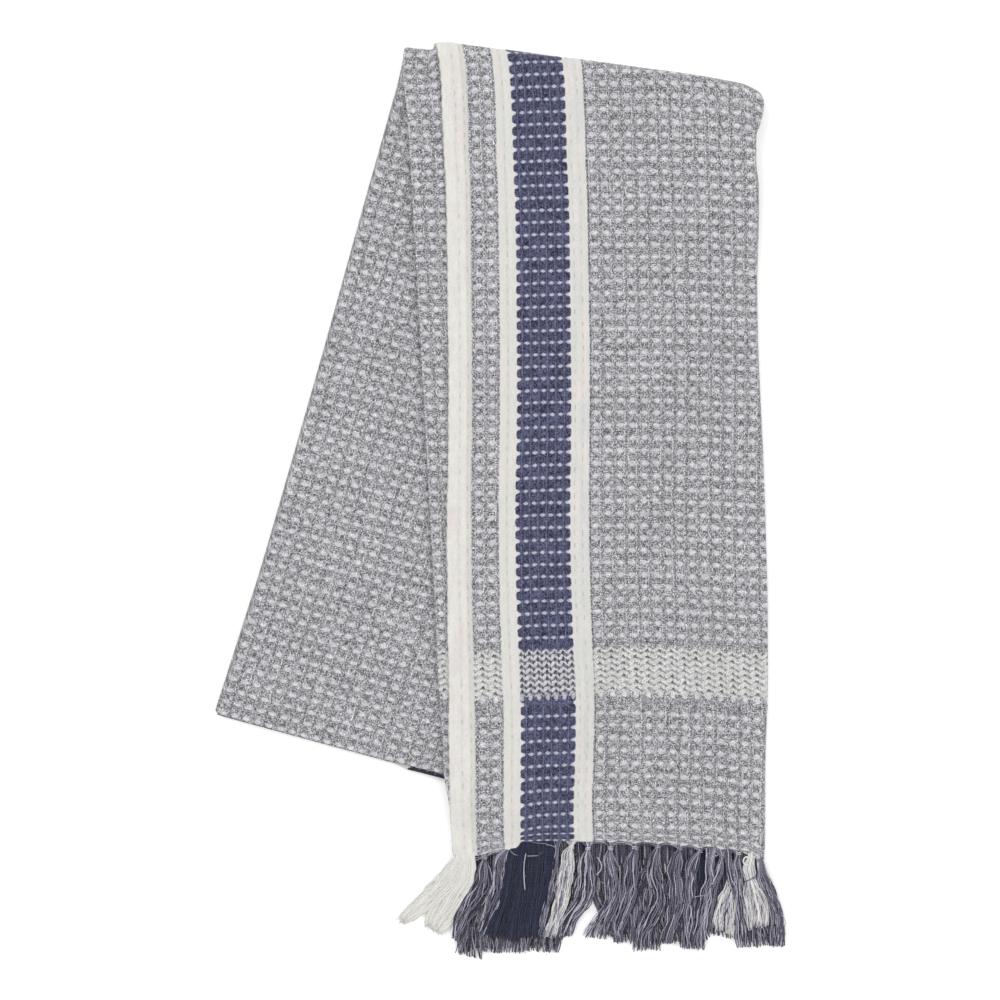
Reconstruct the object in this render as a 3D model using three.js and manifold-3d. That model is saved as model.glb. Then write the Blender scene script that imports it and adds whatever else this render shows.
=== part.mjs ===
// Dish towel, folded in three along its length, then folded back under itself
// across a slanted top line and laid flat, with a knotted self-fringe at one end.
// Millimetres, +Z up, the lowest layer on z = 0.
import * as THREE from 'three';
import ManifoldModule from 'manifold-3d';

// ---- cloth ---------------------------------------------------------------
const CLOTH_LENGTH = 670;        // woven length, fringe start to plain end
const CLOTH_THICK = 1.25;        // textured cotton, one layer
const LAYER_PITCH = 1.70;        // centre to centre of neighbouring layers
const FOLD_GAP = 0.30;           // half the clear gap inside the crosswise fold
const H_LOW = CLOTH_THICK / 2;               // bottom layer of the three
const H_MID = H_LOW + LAYER_PITCH;           // middle layer, tucked in
const H_TOP = H_LOW + 2 * LAYER_PITCH;       // top layer, carries the stripes
const FOLD_Z = H_TOP + CLOTH_THICK / 2 + FOLD_GAP;   // axis of the crosswise fold
const STEP_UP = FOLD_Z + FOLD_GAP;           // rise of the front half on the back half
const FRONT_END_Y = -156.8;                  // where the weave stops and the fringe starts

// ---- crosswise fold line -------------------------------------------------
const FOLD_POINT = [4.45, 195.45];
const FOLD_SLOPE_DEG = -7.99;
const SLOPE = THREE.MathUtils.degToRad(FOLD_SLOPE_DEG);
const ALONG = [Math.cos(SLOPE), Math.sin(SLOPE)];
const ACROSS = [-Math.sin(SLOPE), Math.cos(SLOPE)];

// ---- fold lines along the length: one row per station --------------------
// at: distance from the fringe start along the cloth
// selvedge: free edge of the top layer; right, left: outermost line of each fold
const STATION_COLUMNS = ['at', 'selvedge', 'right', 'left'];
const STATIONS = [
  [-4, -20.9, 117.4, -22.1],
  [0, -21.2, 117.4, -22.3],
  [8, -21.9, 117.4, -22.6],
  [25, -22.8, 117.2, -23.8],
  [50, -23.1, 117.4, -26.3],
  [72, -23.2, 118.5, -27.8],
  [92, -23.5, 118.9, -28.7],
  [110, -23.7, 118.9, -29.6],
  [130, -23.8, 118.4, -30.6],
  [155, -23.5, 117.7, -32.0],
  [180, -23.2, 116.8, -33.4],
  [205, -23.0, 115.6, -34.7],
  [230, -23.1, 114.5, -36.1],
  [255, -23.3, 114.2, -37.5],
  [280, -23.6, 115.1, -39.0],
  [296, -24.2, 115.1, -39.9],
  [310, -25.1, 113.8, -40.6],
  [322, -25.6, 113.8, -41.4],
  [330, -25.8, 115.6, -41.9],
  [344, -26.5, 116.7, -43.1],
  [352, -27.4, 115.8, -43.6],
  [360, -28.6, 114.8, -43.0],
  [370, -28.9, 114.3, -41.8],
  [385, -28.5, 114.3, -40.9],
  [440, -28.1, 113.6, -40.9],
  [520, -27.2, 110.0, -40.5],
  [600, -25.8, 106.9, -40.5],
  [640, -25.2, 105.6, -40.8],
  [680, -24.9, 104.5, -40.8],
];

// ---- bow of the crosswise yarns: rise at shares of the top layer's width --
const BOW_SHARE = [0, 0.06, 0.13, 0.20, 0.22, 0.39, 0.45, 0.65, 0.80, 0.92, 1];
const BOWS = [                    // first column: distance from the fringe start
  [0, -2.0, -2.4, -1.0, 1.2, 4.4, 4.4, 3.8, 3.0, 1.2, -0.2, -4.3],
  [18, -1.6, -1.6, -0.8, 1.0, 2.2, 3.0, 3.0, 1.6, 0.2, -1.2, -3.6],
  [70, -0.2, 0.0, 0.8, 1.4, 1.5, 1.6, 1.4, -0.3, -1.3, -2.0, -2.8],
  [92, -0.8, -0.6, -0.2, 0.3, 0.4, 0.8, 1.0, 1.2, 0.6, -0.3, -1.2],
  [245, -1.6, -1.3, -1.0, -0.7, -0.6, 0.1, 0.6, 0.5, 0.1, -0.2, -0.6],
  [320, -0.4, -0.2, 0, 0, 0, 0, 0, 0, 0, 0, 0],
  [345, 0, 0, 0, 0, 0, 0, 0, 0, 0, 0, 0],
];

// ---- unevenness of the crosswise fold: shift outward along the line -------
const CREST = [                   // x, shift
  [-48, -3.6], [-44, -3.4], [-32, -2.7], [-28.5, -0.8], [-23, 0.2], [-16, 0],
  [53, 0.1], [90, 0.2], [106, 0], [111, -0.8], [114, -2.0], [118, -3.6],
];
const CREST_REACH = 24;           // how far from the line the shift fades out

// ---- where each layer begins and ends -------------------------------------
const ENDS = { top: [0, 668], low: [0.7, 670.3], mid: [0.9, 676.6] };

// ---- drape of the front half off the back half ----------------------------
const BACK_CORNER_TOP = [116.7, 178.2];
const BACK_CORNER_LOW = [12.5, -132.8];
const BACK_CORNER_LEFT = [-126.5, -96.2];
const DRAPE_LEDGE = 4.5;          // stays level this far past the edge below
const DRAPE_FALL = 20;            // then comes down to the surface over this

// ---- soft swells: x, y, lean (deg from +Y), half length, half width, height
const FRONT_SWELLS = [
  [108, 10, -1, 150, 9, 0.55], [84, 100, -6, 55, 24, 0.50], [36, 120, 2, 60, 16, 0.30],
  [92, -20, 4, 60, 20, 0.45], [-14, 40, 1, 110, 8, 0.35], [60, -120, 20, 30, 22, 0.35],
];
const BACK_SWELLS = [
  [-78, 10, -16, 120, 7, 0.60], [-58, -30, -12, 60, 12, 0.70], [-96, -78, -16, 30, 10, 0.5],
  [-45, -95, 60, 20, 10, 0.35],
];

// ---- fringe: one row per tuft ---------------------------------------------
const FRINGE_GAP = 0.5;           // gap along the cloth; the clear gap is 0.3 where the edge slants
const FRINGE_HEAD = 2.6;          // depth of the strip the tufts hang from
const TUFT_THICK = 1.15;
// layer, root x, middle x, middle y, tip x, tip y, width at root, middle, tip, tip height
const TUFTS = [
  ['top', -17.2, -28, -176, -38, -187.5, 8.6, 13.5, 11.0, 0.62],
  ['top', -8.0, -10, -176, -17, -196, 4.0, 7.0, 6.5, 3.0],
  ['top', 2.0, -1.5, -176, -8.5, -193, 4.0, 7.0, 6.0, 3.0],
  ['top', 8.5, 6.5, -176, 0.5, -196, 6.5, 8.5, 8.0, 3.0],
  ['top', 19.5, 17.5, -176, 12.0, -196, 7.5, 9.5, 9.5, 3.0],
  ['top', 31.2, 27.0, -176, 21.5, -195, 4.5, 6.0, 5.5, 3.0],
  ['top', 39.5, 35.5, -176, 29.8, -193, 3.8, 6.0, 5.5, 3.0],
  ['top', 49.0, 48.5, -176, 39.5, -195, 4.0, 6.5, 5.5, 1.6],
  ['top', 59.2, 56.5, -176, 53.0, -195, 4.0, 7.5, 5.5, 3.0],
  ['top', 69.3, 69.5, -176, 61.5, -198, 4.0, 7.0, 8.0, 3.0],
  ['top', 79.4, 79.0, -176, 75.5, -196, 4.0, 7.0, 7.0, 3.0],
  ['top', 88.0, 86.5, -176, 84.5, -198, 4.0, 7.0, 8.0, 3.0],
  ['top', 98.5, 95.0, -176, 91.5, -197, 4.0, 6.5, 6.0, 3.0],
  ['top', 106.5, 106.0, -176, 108.0, -198, 4.0, 6.0, 6.5, 3.0],
  ['top', 114.0, 117.0, -176, 122.5, -197, 4.0, 7.0, 7.5, 3.0],
  ['mid', -12.0, -12.0, -176, -18.0, -200, 6.0, 8.0, 7.5, 1.72],
  ['mid', -2.0, -3.0, -176, -8.0, -196, 6.0, 8.0, 8.0, 1.72],
  ['mid', 8.0, 6.5, -176, 3.0, -200, 6.0, 8.0, 8.0, 1.72],
  ['mid', 18.0, 16.5, -176, 13.5, -200, 6.0, 8.0, 8.0, 1.72],
  ['mid', 28.0, 26.0, -176, 23.0, -200, 6.0, 8.0, 7.5, 1.72],
  ['mid', 50.0, 52.5, -176, 51.5, -192, 6.0, 7.5, 6.0, 1.72],
  ['mid', 60.0, 61.0, -176, 62.5, -195, 6.0, 7.5, 7.0, 1.72],
  ['mid', 70.0, 70.5, -176, 72.0, -196, 6.0, 7.5, 7.0, 1.72],
  ['mid', 80.0, 80.5, -176, 81.5, -196, 6.0, 7.5, 7.0, 1.72],
  ['mid', 89.0, 89.5, -176, 90.5, -192, 6.0, 7.5, 7.0, 1.72],
  ['mid', 98.5, 98.5, -176, 99.0, -192, 6.0, 8.0, 8.0, 1.72],
  ['mid', 108.5, 111.0, -176, 114.0, -194, 6.0, 8.0, 8.0, 1.72],
  ['low', -8.0, -10.0, -176, -14.0, -202, 6.0, 7.5, 7.5, 0.5],
  ['low', 2.5, 1.0, -176, -3.0, -199, 6.0, 7.5, 7.5, 0.5],
  ['low', 13.0, 11.5, -176, 8.5, -200, 6.0, 7.5, 7.5, 0.5],
  ['low', 23.5, 21.5, -176, 19.0, -200, 6.0, 7.5, 7.5, 0.5],
  ['low', 44.0, 45.5, -172, 47.0, -178, 5.5, 5.5, 4.0, 0.5],
  ['low', 55.0, 56.5, -176, 58.0, -192, 6.0, 7.5, 7.0, 0.5],
  ['low', 65.5, 66.0, -176, 67.5, -198, 6.0, 7.5, 7.0, 0.5],
  ['low', 76.0, 76.0, -176, 77.0, -194, 6.0, 7.5, 7.0, 0.5],
  ['low', 86.5, 86.5, -176, 87.5, -197, 6.0, 7.5, 7.0, 0.5],
  ['low', 97.0, 97.5, -176, 98.5, -190, 6.0, 7.5, 7.0, 0.5],
  ['low', 107.5, 112.5, -176, 118.0, -199, 6.0, 8.0, 8.5, 0.5],
];

// ---- division of the cloth into facets ------------------------------------
const COLUMNS = 11;               // across each layer
const EDGE_COLUMN = 3.4;          // width of the last column, beside the right fold
const ARC_STEPS = 4;              // round each lengthwise fold
const FRONT_ROWS_LOW = 8;         // fine rows over the drape near the fringe
const FRONT_LOW_SPAN = 58;
const FRONT_ROWS = 16;
const BEND_ROWS = 7;              // over the crosswise fold
const BACK_ROWS = 9;
const BACK_SPREAD = 1.7;          // rows of the back half crowd towards the fold

const COLOURS = { cloth: '#a7a8ad', fringe: '#6d6d7d' };

const clamp = (v, a, b) => Math.min(b, Math.max(a, v));
const ease = (t) => { const c = clamp(t, 0, 1); return c * c * (3 - 2 * c); };

// Smooth curve through the rows of a table, without overshoot.
function through(rows, column, at) {
  const n = rows.length;
  const x = clamp(at, rows[0][0], rows[n - 1][0]);
  let i = 0;
  while (i < n - 2 && x > rows[i + 1][0]) i++;
  const step = (j) => rows[j + 1][0] - rows[j][0];
  const rise = (j) => (rows[j + 1][column] - rows[j][column]) / step(j);
  const slope = (j) => {
    if (j === 0) return rise(0);
    if (j === n - 1) return rise(n - 2);
    const a = rise(j - 1);
    const b = rise(j);
    if (a * b <= 0) return 0;
    const w1 = 2 * step(j) + step(j - 1);
    const w2 = step(j) + 2 * step(j - 1);
    return (w1 + w2) / (w1 / a + w2 / b);
  };
  const h = step(i);
  const t = (x - rows[i][0]) / h;
  return rows[i][column] * (1 + 2 * t) * (1 - t) ** 2 + slope(i) * h * t * (1 - t) ** 2
    + rows[i + 1][column] * t * t * (3 - 2 * t) + slope(i + 1) * h * t * t * (t - 1);
}

const station = (at, name) => through(STATIONS, STATION_COLUMNS.indexOf(name), at);

// Rise of a crosswise yarn at x, at a distance from the fringe start.
function bow(x, at) {
  const left = station(at, 'selvedge');
  const share = clamp((x - left) / (station(at, 'right') - left), 0, 1);
  let i = 0;
  while (i < BOW_SHARE.length - 2 && share > BOW_SHARE[i + 1]) i++;
  const t = ease((share - BOW_SHARE[i]) / (BOW_SHARE[i + 1] - BOW_SHARE[i]));
  const where = clamp(at, 0, 345);
  return through(BOWS, i + 1, where) * (1 - t) + through(BOWS, i + 2, where) * t;
}

// Distance outside the back half's outline, on the right and below.
function beyondBack(x, y) {
  const side = (p, q) => {
    const l = Math.hypot(q[0] - p[0], q[1] - p[1]);
    return ((x - p[0]) * -(q[1] - p[1]) + (y - p[1]) * (q[0] - p[0])) / l;
  };
  return Math.hypot(Math.max(side(BACK_CORNER_TOP, BACK_CORNER_LOW), 0),
    Math.max(side(BACK_CORNER_LOW, BACK_CORNER_LEFT), 0));
}

function swell(table, x, y) {
  let sum = 0;
  for (const [cx, cy, lean, length, width, height] of table) {
    const r = THREE.MathUtils.degToRad(lean);
    const u = (x - cx) * Math.cos(r) + (y - cy) * Math.sin(r);
    const v = -(x - cx) * Math.sin(r) + (y - cy) * Math.cos(r);
    sum += height * Math.exp(-((u / width) ** 2) - (v / length) ** 2);
  }
  return sum;
}

// Signed distance of a point of the unfolded strip past the fold line.
const past = (x, y) => (x - FOLD_POINT[0]) * ACROSS[0] + (y - FOLD_POINT[1]) * ACROSS[1];

// The folded position of a point of the three-layer strip: x across, height h
// in the stack, and distance from the fringe start.
function place(x, h, at) {
  const y = FRONT_END_Y + at + bow(x, at);
  const a = (x - FOLD_POINT[0]) * ALONG[0] + (y - FOLD_POINT[1]) * ALONG[1];
  const d = past(x, y);
  const radius = h + FOLD_GAP;
  const share = clamp((h - H_LOW) / (H_TOP - H_LOW), 0, 1);
  let off = d;
  let z;
  if (d > 0) {
    const turn = Math.min(d / radius, Math.PI);
    off = turn < Math.PI ? radius * Math.sin(turn) : -(d - Math.PI * radius);
    z = FOLD_Z + radius * Math.cos(turn);
  }
  const lineX = FOLD_POINT[0] + a * ALONG[0];
  const crest = through(CREST, 1, lineX) * (1 - ease(Math.abs(off) / CREST_REACH));
  const px = lineX + (off + crest) * ACROSS[0];
  const py = FOLD_POINT[1] + a * ALONG[1] + (off + crest) * ACROSS[1];
  const clear = ease(Math.abs(off) / 18);
  if (d <= 0) {
    z = h + STEP_UP * (1 - ease((beyondBack(px, py) - DRAPE_LEDGE) / DRAPE_FALL))
      + share * clear * swell(FRONT_SWELLS, px, py);
  } else if (d > Math.PI * radius) {
    const open = ease((station(at > 345 ? 300 : at, 'left') - 4 - px) / 10);
    z += (1 - share) * clear * open * swell(BACK_SWELLS, px, py);
  }
  return new THREE.Vector3(px, py, z);
}

// ---- the C-shaped section: stations across the three layers ----------------
// Each column gives its x at a distance along the cloth, its height in the
// stack, the direction of its face, its layer and which way its facets split.
function section(columns, edgeColumn) {
  const right = (at) => station(at, 'right') - CLOTH_THICK / 2 - LAYER_PITCH;
  const left = (at) => station(at, 'left') + CLOTH_THICK / 2 + LAYER_PITCH / 2;
  const start = (at) => Math.max(station(at, 'selvedge'), left(at) + 0.8);
  const shared = (k) => (at) => (k >= columns ? right(at)
    : start(at) + (right(at) - edgeColumn - start(at)) * (k / (columns - 1)));
  const list = [];
  const flat = (x, h, up, layer) => list.push({ x, h, nx: 0, nh: up, layer });
  flat((at) => station(at, 'selvedge'), H_TOP, 1, 'top');
  for (let k = 1; k <= columns; k++) flat(shared(k), H_TOP, 1, 'top');
  for (let i = 1; i < ARC_STEPS; i++) {
    const t = (Math.PI * i) / ARC_STEPS;
    list.push({
      x: (at) => right(at) + LAYER_PITCH * Math.sin(t),
      h: H_MID + LAYER_PITCH * Math.cos(t),
      nx: Math.sin(t), nh: Math.cos(t), layer: 'right', blend: i / ARC_STEPS,
    });
  }
  for (let k = columns; k >= 0; k--) flat(shared(k), H_LOW, -1, 'low');
  flat(left, H_LOW, -1, 'low');
  const r = LAYER_PITCH / 2;
  for (let i = 1; i < ARC_STEPS; i++) {
    const t = (Math.PI * i) / ARC_STEPS;
    list.push({
      x: (at) => left(at) - r * Math.sin(t),
      h: H_LOW + r - r * Math.cos(t),
      nx: -Math.sin(t), nh: -Math.cos(t), layer: 'left', blend: i / ARC_STEPS,
    });
  }
  flat(left, H_MID, 1, 'mid');
  for (let k = 0; k < columns; k++) flat(shared(k), H_MID, 1, 'mid');
  return list;
}

function endsOf(c) {
  if (ENDS[c.layer]) return ENDS[c.layer];
  const [from, to] = c.layer === 'right' ? [ENDS.top, ENDS.low] : [ENDS.low, ENDS.mid];
  return [0, 1].map((i) => from[i] + (to[i] - from[i]) * ease(c.blend));
}

// Closed shell from a grid of face points and reverse points.
function shell(face, reverse, flip) {
  const rows = face.length;
  const cols = face[0].length;
  const points = [];
  for (const side of [face, reverse]) for (const row of side) for (const p of row) points.push(p);
  const id = (side, i, j) => side * rows * cols + i * cols + j;
  const tris = [];
  const quad = (a, b, c, d, split) => {
    if (split) tris.push([a, b, d], [b, c, d]);
    else tris.push([a, b, c], [a, c, d]);
  };
  for (let i = 0; i < rows - 1; i++) {
    for (let j = 0; j < cols - 1; j++) {
      const s = flip[j];
      quad(id(0, i, j), id(0, i, j + 1), id(0, i + 1, j + 1), id(0, i + 1, j), s);
      quad(id(1, i, j + 1), id(1, i, j), id(1, i + 1, j), id(1, i + 1, j + 1), !s);
    }
    quad(id(0, i, 0), id(0, i + 1, 0), id(1, i + 1, 0), id(1, i, 0), false);
    const e = cols - 1;
    quad(id(0, i + 1, e), id(0, i, e), id(1, i, e), id(1, i + 1, e), false);
  }
  for (let j = 0; j < cols - 1; j++) {
    quad(id(0, 0, j + 1), id(0, 0, j), id(1, 0, j), id(1, 0, j + 1), false);
    const e = rows - 1;
    quad(id(0, e, j), id(0, e, j + 1), id(1, e, j + 1), id(1, e, j), false);
  }
  return outward({ points, tris });
}

function outward(body) {
  let volume = 0;
  const [a, b, c] = [new THREE.Vector3(), new THREE.Vector3(), new THREE.Vector3()];
  for (const t of body.tris) {
    a.copy(body.points[t[0]]); b.copy(body.points[t[1]]); c.copy(body.points[t[2]]);
    volume += a.dot(b.cross(c)) / 6;
  }
  if (volume < 0) body.tris = body.tris.map(([p, q, r]) => [p, r, q]);
  return body;
}

// ---- cloth ------------------------------------------------------------------
function clothBody() {
  const cols = section(COLUMNS, EDGE_COLUMN);
  const half = CLOTH_THICK / 2;
  // The face side and the reverse side of every column.
  const sides = [1, -1].map((sign) => cols.map((c) => ({
    x: (at) => c.x(at) + sign * c.nx * half,
    h: c.h + sign * c.nh * half,
    ends: endsOf(c),
  })));
  const grids = [[], []];
  const addRow = (atOf) => {
    sides.forEach((side, i) => grids[i].push(side.map((c) => {
      const at = atOf(c);
      return place(c.x(at), c.h, at);
    })));
  };
  // Distance along the cloth at which a column meets a distance past the fold.
  const meets = (c, d) => {
    let lo = 250;
    let hi = 450;
    for (let i = 0; i < 40; i++) {
      const mid = (lo + hi) / 2;
      if (past(c.x(mid), FRONT_END_Y + mid + bow(c.x(mid), mid)) < d) lo = mid; else hi = mid;
    }
    return (lo + hi) / 2;
  };
  for (const c of sides.flat()) {
    c.top = meets(c, 0);
    c.foot = meets(c, Math.PI * (c.h + FOLD_GAP) + 0.001);
  }
  for (let i = 0; i < FRONT_ROWS_LOW; i++) {
    addRow((c) => c.ends[0] + (FRONT_LOW_SPAN - c.ends[0]) * (i / FRONT_ROWS_LOW));
  }
  for (let i = 0; i < FRONT_ROWS; i++) {
    addRow((c) => FRONT_LOW_SPAN + (c.top - FRONT_LOW_SPAN) * (i / FRONT_ROWS));
  }
  for (let i = 0; i <= BEND_ROWS; i++) {
    addRow((c) => meets(c, Math.PI * (c.h + FOLD_GAP) * (i / BEND_ROWS)));
  }
  for (let i = 1; i <= BACK_ROWS; i++) {
    addRow((c) => c.foot + (c.ends[1] - c.foot) * (i / BACK_ROWS) ** BACK_SPREAD);
  }
  const flip = cols.slice(0, -1).map((c, j) => c.nh < 0 && cols[j + 1].nh < 0);
  return shell(grids[0], grids[1], flip);
}

// ---- fringe -------------------------------------------------------------------
// A strip of the three-layer section between two distances along the cloth.
function stripBody(from, to, thick) {
  const cols = section(COLUMNS, EDGE_COLUMN);
  const half = thick / 2;
  const grid = (sign) => [from, to].map((back) => cols.map((c) => {
    const at = endsOf(c)[0] + back;
    return place(c.x(at) + sign * c.nx * half, c.h + sign * c.nh * half, at);
  }));
  return shell(grid(1), grid(-1), cols.slice(0, -1).map(() => false));
}

// A tuft: flat six-sided strands bundle, wider at the middle, thinner at the tip.
function tuftBody([layer, rootX, midX, midY, tipX, tipY, rootW, midW, tipW, tipZ]) {
  const h = { top: H_TOP, mid: H_MID, low: H_LOW }[layer];
  const rootAt = ENDS[layer][0] - FRINGE_GAP - FRINGE_HEAD * 0.7;
  const root = place(rootX, h, rootAt);
  const beside = place(rootX + 1, h, rootAt).sub(place(rootX - 1, h, rootAt)).normalize();
  const tip = new THREE.Vector3(tipX, tipY, tipZ);
  const middle = new THREE.Vector3(midX, midY, root.z * 0.45 + tipZ * 0.55);
  const low = layer === 'low';
  const stops = [
    { p: root, w: rootW, t: TUFT_THICK * 0.9 },
    { p: root.clone().lerp(middle, 0.5).add(new THREE.Vector3((rootX - midX) * 0.12, 0, 0)), w: (rootW + midW) * 0.52, t: TUFT_THICK },
    { p: middle, w: midW, t: 1.0 },
    { p: tip, w: tipW, t: low ? 1.0 : 0.9 },
  ];
  if (low) for (const s of stops) s.p.z = Math.max(s.p.z, s.t / 2);
  const points = [];
  stops.forEach((s, i) => {
    const before = stops[Math.max(i - 1, 0)].p;
    const after = stops[Math.min(i + 1, stops.length - 1)].p;
    const dir = new THREE.Vector2(after.x - before.x, after.y - before.y).normalize();
    const side = i === 0 ? [beside.x, beside.y] : [-dir.y, dir.x];
    for (const [u, v] of [[-0.5, 0], [-0.34, -0.5], [0.34, -0.5], [0.5, 0], [0.34, 0.5], [-0.34, 0.5]]) {
      points.push(new THREE.Vector3(s.p.x + side[0] * u * s.w, s.p.y + side[1] * u * s.w, s.p.z + v * s.t));
    }
  });
  const tris = [];
  for (let i = 0; i < stops.length - 1; i++) {
    for (let j = 0; j < 6; j++) {
      const a = i * 6 + j;
      const b = i * 6 + ((j + 1) % 6);
      tris.push([a, b, b + 6], [a, b + 6, a + 6]);
    }
  }
  for (let j = 1; j < 5; j++) {
    tris.push([0, j + 1, j]);
    const e = (stops.length - 1) * 6;
    tris.push([e, e + j, e + j + 1]);
  }
  return outward({ points, tris });
}

// ---- meshes ---------------------------------------------------------------------
const wasm = await ManifoldModule();
wasm.setup();
const { Manifold, Mesh: ManifoldMesh } = wasm;

const toManifold = (body) => new Manifold(new ManifoldMesh({
  numProp: 3,
  vertProperties: new Float32Array(body.points.flatMap((p) => [p.x, p.y, p.z])),
  triVerts: new Uint32Array(body.tris.flat()),
}));

// The tufts, trimmed clear of the weave, joined to the strip they hang from.
function comb(head, tufts, weave) {
  const trimmed = Manifold.union(tufts.map(toManifold)).subtract(toManifold(weave));
  const pieces = trimmed.add(toManifold(head)).decompose();
  const whole = pieces.reduce((a, b) => (b.volume() > a.volume() ? b : a));
  const mesh = whole.getMesh();
  const points = [];
  for (let i = 0; i < mesh.numVert; i++) {
    points.push(new THREE.Vector3(...mesh.vertProperties.slice(i * mesh.numProp, i * mesh.numProp + 3)));
  }
  const tris = [];
  for (let i = 0; i < mesh.numTri; i++) tris.push([...mesh.triVerts.slice(i * 3, i * 3 + 3)]);
  return { points, tris };
}

function meshOf(name, body, colour, roughness, shift) {
  const position = new Float32Array(body.points.flatMap((p) => [p.x, p.y, p.z].map((v, i) => Math.round((v + shift[i]) * 1e4) / 1e4)));
  const geometry = new THREE.BufferGeometry();
  geometry.setAttribute('position', new THREE.BufferAttribute(position, 3));
  geometry.setIndex(body.tris.flat());
  geometry.computeVertexNormals();
  const mesh = new THREE.Mesh(geometry, new THREE.MeshStandardMaterial({ color: colour, roughness, metalness: 0 }));
  mesh.name = name;
  return mesh;
}

const cloth = clothBody();
const fringe = comb(
  stripBody(-FRINGE_GAP - FRINGE_HEAD, -FRINGE_GAP, CLOTH_THICK),
  TUFTS.map(tuftBody),
  stripBody(-FRINGE_GAP, 9, CLOTH_THICK + 0.4),
);

// Centre of the outline in plan, so that the origin is under the middle.
const box = new THREE.Box3().setFromPoints([...cloth.points, ...fringe.points]);
const shift = [-(box.min.x + box.max.x) / 2, -(box.min.y + box.max.y) / 2, 0];

const part = new THREE.Group();
part.name = 'dish_towel';
part.add(meshOf('cloth', cloth, COLOURS.cloth, 0.92, shift));
part.add(meshOf('fringe', fringe, COLOURS.fringe, 0.92, shift));

export default part;
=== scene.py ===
"""Dish towel: looks. A woven sheet folded in three lengthwise, folded back under itself across a
slanted line, laid flat, with a knotted self-fringe. Sizes in the tables are millimetres."""

import math

import bpy
import numpy as np
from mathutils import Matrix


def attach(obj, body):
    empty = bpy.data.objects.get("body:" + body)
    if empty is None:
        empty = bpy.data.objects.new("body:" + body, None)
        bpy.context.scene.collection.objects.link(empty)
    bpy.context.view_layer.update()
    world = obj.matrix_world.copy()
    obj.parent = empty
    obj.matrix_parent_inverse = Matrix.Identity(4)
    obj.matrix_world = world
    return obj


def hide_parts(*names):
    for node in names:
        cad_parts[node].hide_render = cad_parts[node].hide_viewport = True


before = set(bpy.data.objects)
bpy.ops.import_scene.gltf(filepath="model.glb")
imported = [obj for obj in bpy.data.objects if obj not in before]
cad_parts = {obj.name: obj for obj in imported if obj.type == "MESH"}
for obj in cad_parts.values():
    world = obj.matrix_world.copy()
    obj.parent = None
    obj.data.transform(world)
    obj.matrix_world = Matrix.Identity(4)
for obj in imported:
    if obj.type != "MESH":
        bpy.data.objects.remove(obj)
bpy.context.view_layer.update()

MM = 0.001
SHIFT = np.array([0.2878, -0.5942, 0.0])     # the part's origin is under the middle of its outline

# ---------------------------------------------------------------------------------------------
# camera: straight above, 1000 px = 445.5 mm at the cloth
# ---------------------------------------------------------------------------------------------
LENS, SENSOR, FRAME_MM = 110.0, 36.0, 445.5
DISTANCE = FRAME_MM * MM * LENS / SENSOR
cam_data = bpy.data.cameras.new("camera")
cam_data.type = "PERSP"
cam_data.lens = LENS
cam_data.sensor_width = SENSOR
cam_data.clip_start, cam_data.clip_end = 0.01, 50
cam = bpy.data.objects.new("camera", cam_data)
cam.location = ((-0.4455 + SHIFT[0]) * MM, SHIFT[1] * MM, DISTANCE + 7.0 * MM)
bpy.context.scene.collection.objects.link(cam)
bpy.context.scene.camera = cam

# ---------------------------------------------------------------------------------------------
# the fold, as in the part's source
# ---------------------------------------------------------------------------------------------
THICK, PITCH, FOLD_GAP = 1.25, 1.70, 0.30
HALF = THICK / 2
H_LOW, H_MID, H_TOP = HALF, HALF + PITCH, HALF + 2 * PITCH
FOLD_Z = H_TOP + HALF + FOLD_GAP
STEP_UP = FOLD_Z + FOLD_GAP
FRONT_END_Y = -156.8
FOLD_POINT = (4.45, 195.45)
SLOPE = math.radians(-7.99)
ALONG = (math.cos(SLOPE), math.sin(SLOPE))
ACROSS = (-math.sin(SLOPE), math.cos(SLOPE))
WIDTH, LENGTH = 418.0, 670.0

STATION_COLUMNS = ["at", "selvedge", "right", "left", "free"]
STATIONS = np.array([
    (-4, -20.9, 117.6, -21.2, 112.0),
    (0, -21.2, 117.7, -21.5, 112.0),
    (8, -21.9, 118.1, -22.0, 112.0),
    (22, -22.7, 118.2, -23.2, 111.8),
    (36, -22.95, 118.25, -25.5, 111.5),
    (50, -23.1, 118.5, -26.2, 111.0),
    (72, -23.2, 119.3, -27.7, 110.0),
    (92, -23.5, 119.4, -28.7, 109.0),
    (110, -23.7, 119.35, -29.6, 107.0),
    (130, -23.8, 118.9, -30.6, 104.0),
    (155, -23.5, 118.15, -32.0, 100.0),
    (180, -23.2, 117.2, -33.4, 96.0),
    (205, -23.0, 116.05, -34.7, 92.0),
    (230, -23.1, 115.0, -36.1, 88.0),
    (255, -23.3, 114.65, -37.5, 85.0),
    (280, -23.6, 115.2, -39.0, 82.0),
    (296, -24.2, 115.1, -39.9, 80.0),
    (308, -25.0, 113.8, -40.6, 78.0),
    (319.5, -25.5, 114.0, -41.4, 77.0),
    (327.5, -25.75, 116.2, -41.8, 76.0),
    (338.5, -26.3, 118.0, -42.9, 75.5),
    (352, -27.4, 117.0, -43.6, 75.0),
    (360, -28.6, 115.2, -43.0, 75.5),
    (370, -28.9, 114.3, -41.8, 77.0),
    (385, -28.5, 114.3, -40.9, 78.5),
    (440, -28.1, 113.6, -40.6, 84.0),
    (520, -27.2, 110.0, -40.0, 92.0),
    (600, -25.8, 106.9, -40.1, 98.0),
    (640, -25.2, 105.6, -41.1, 100.0),
    (680, -24.9, 104.5, -42.4, 100.8),
], float)

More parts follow.
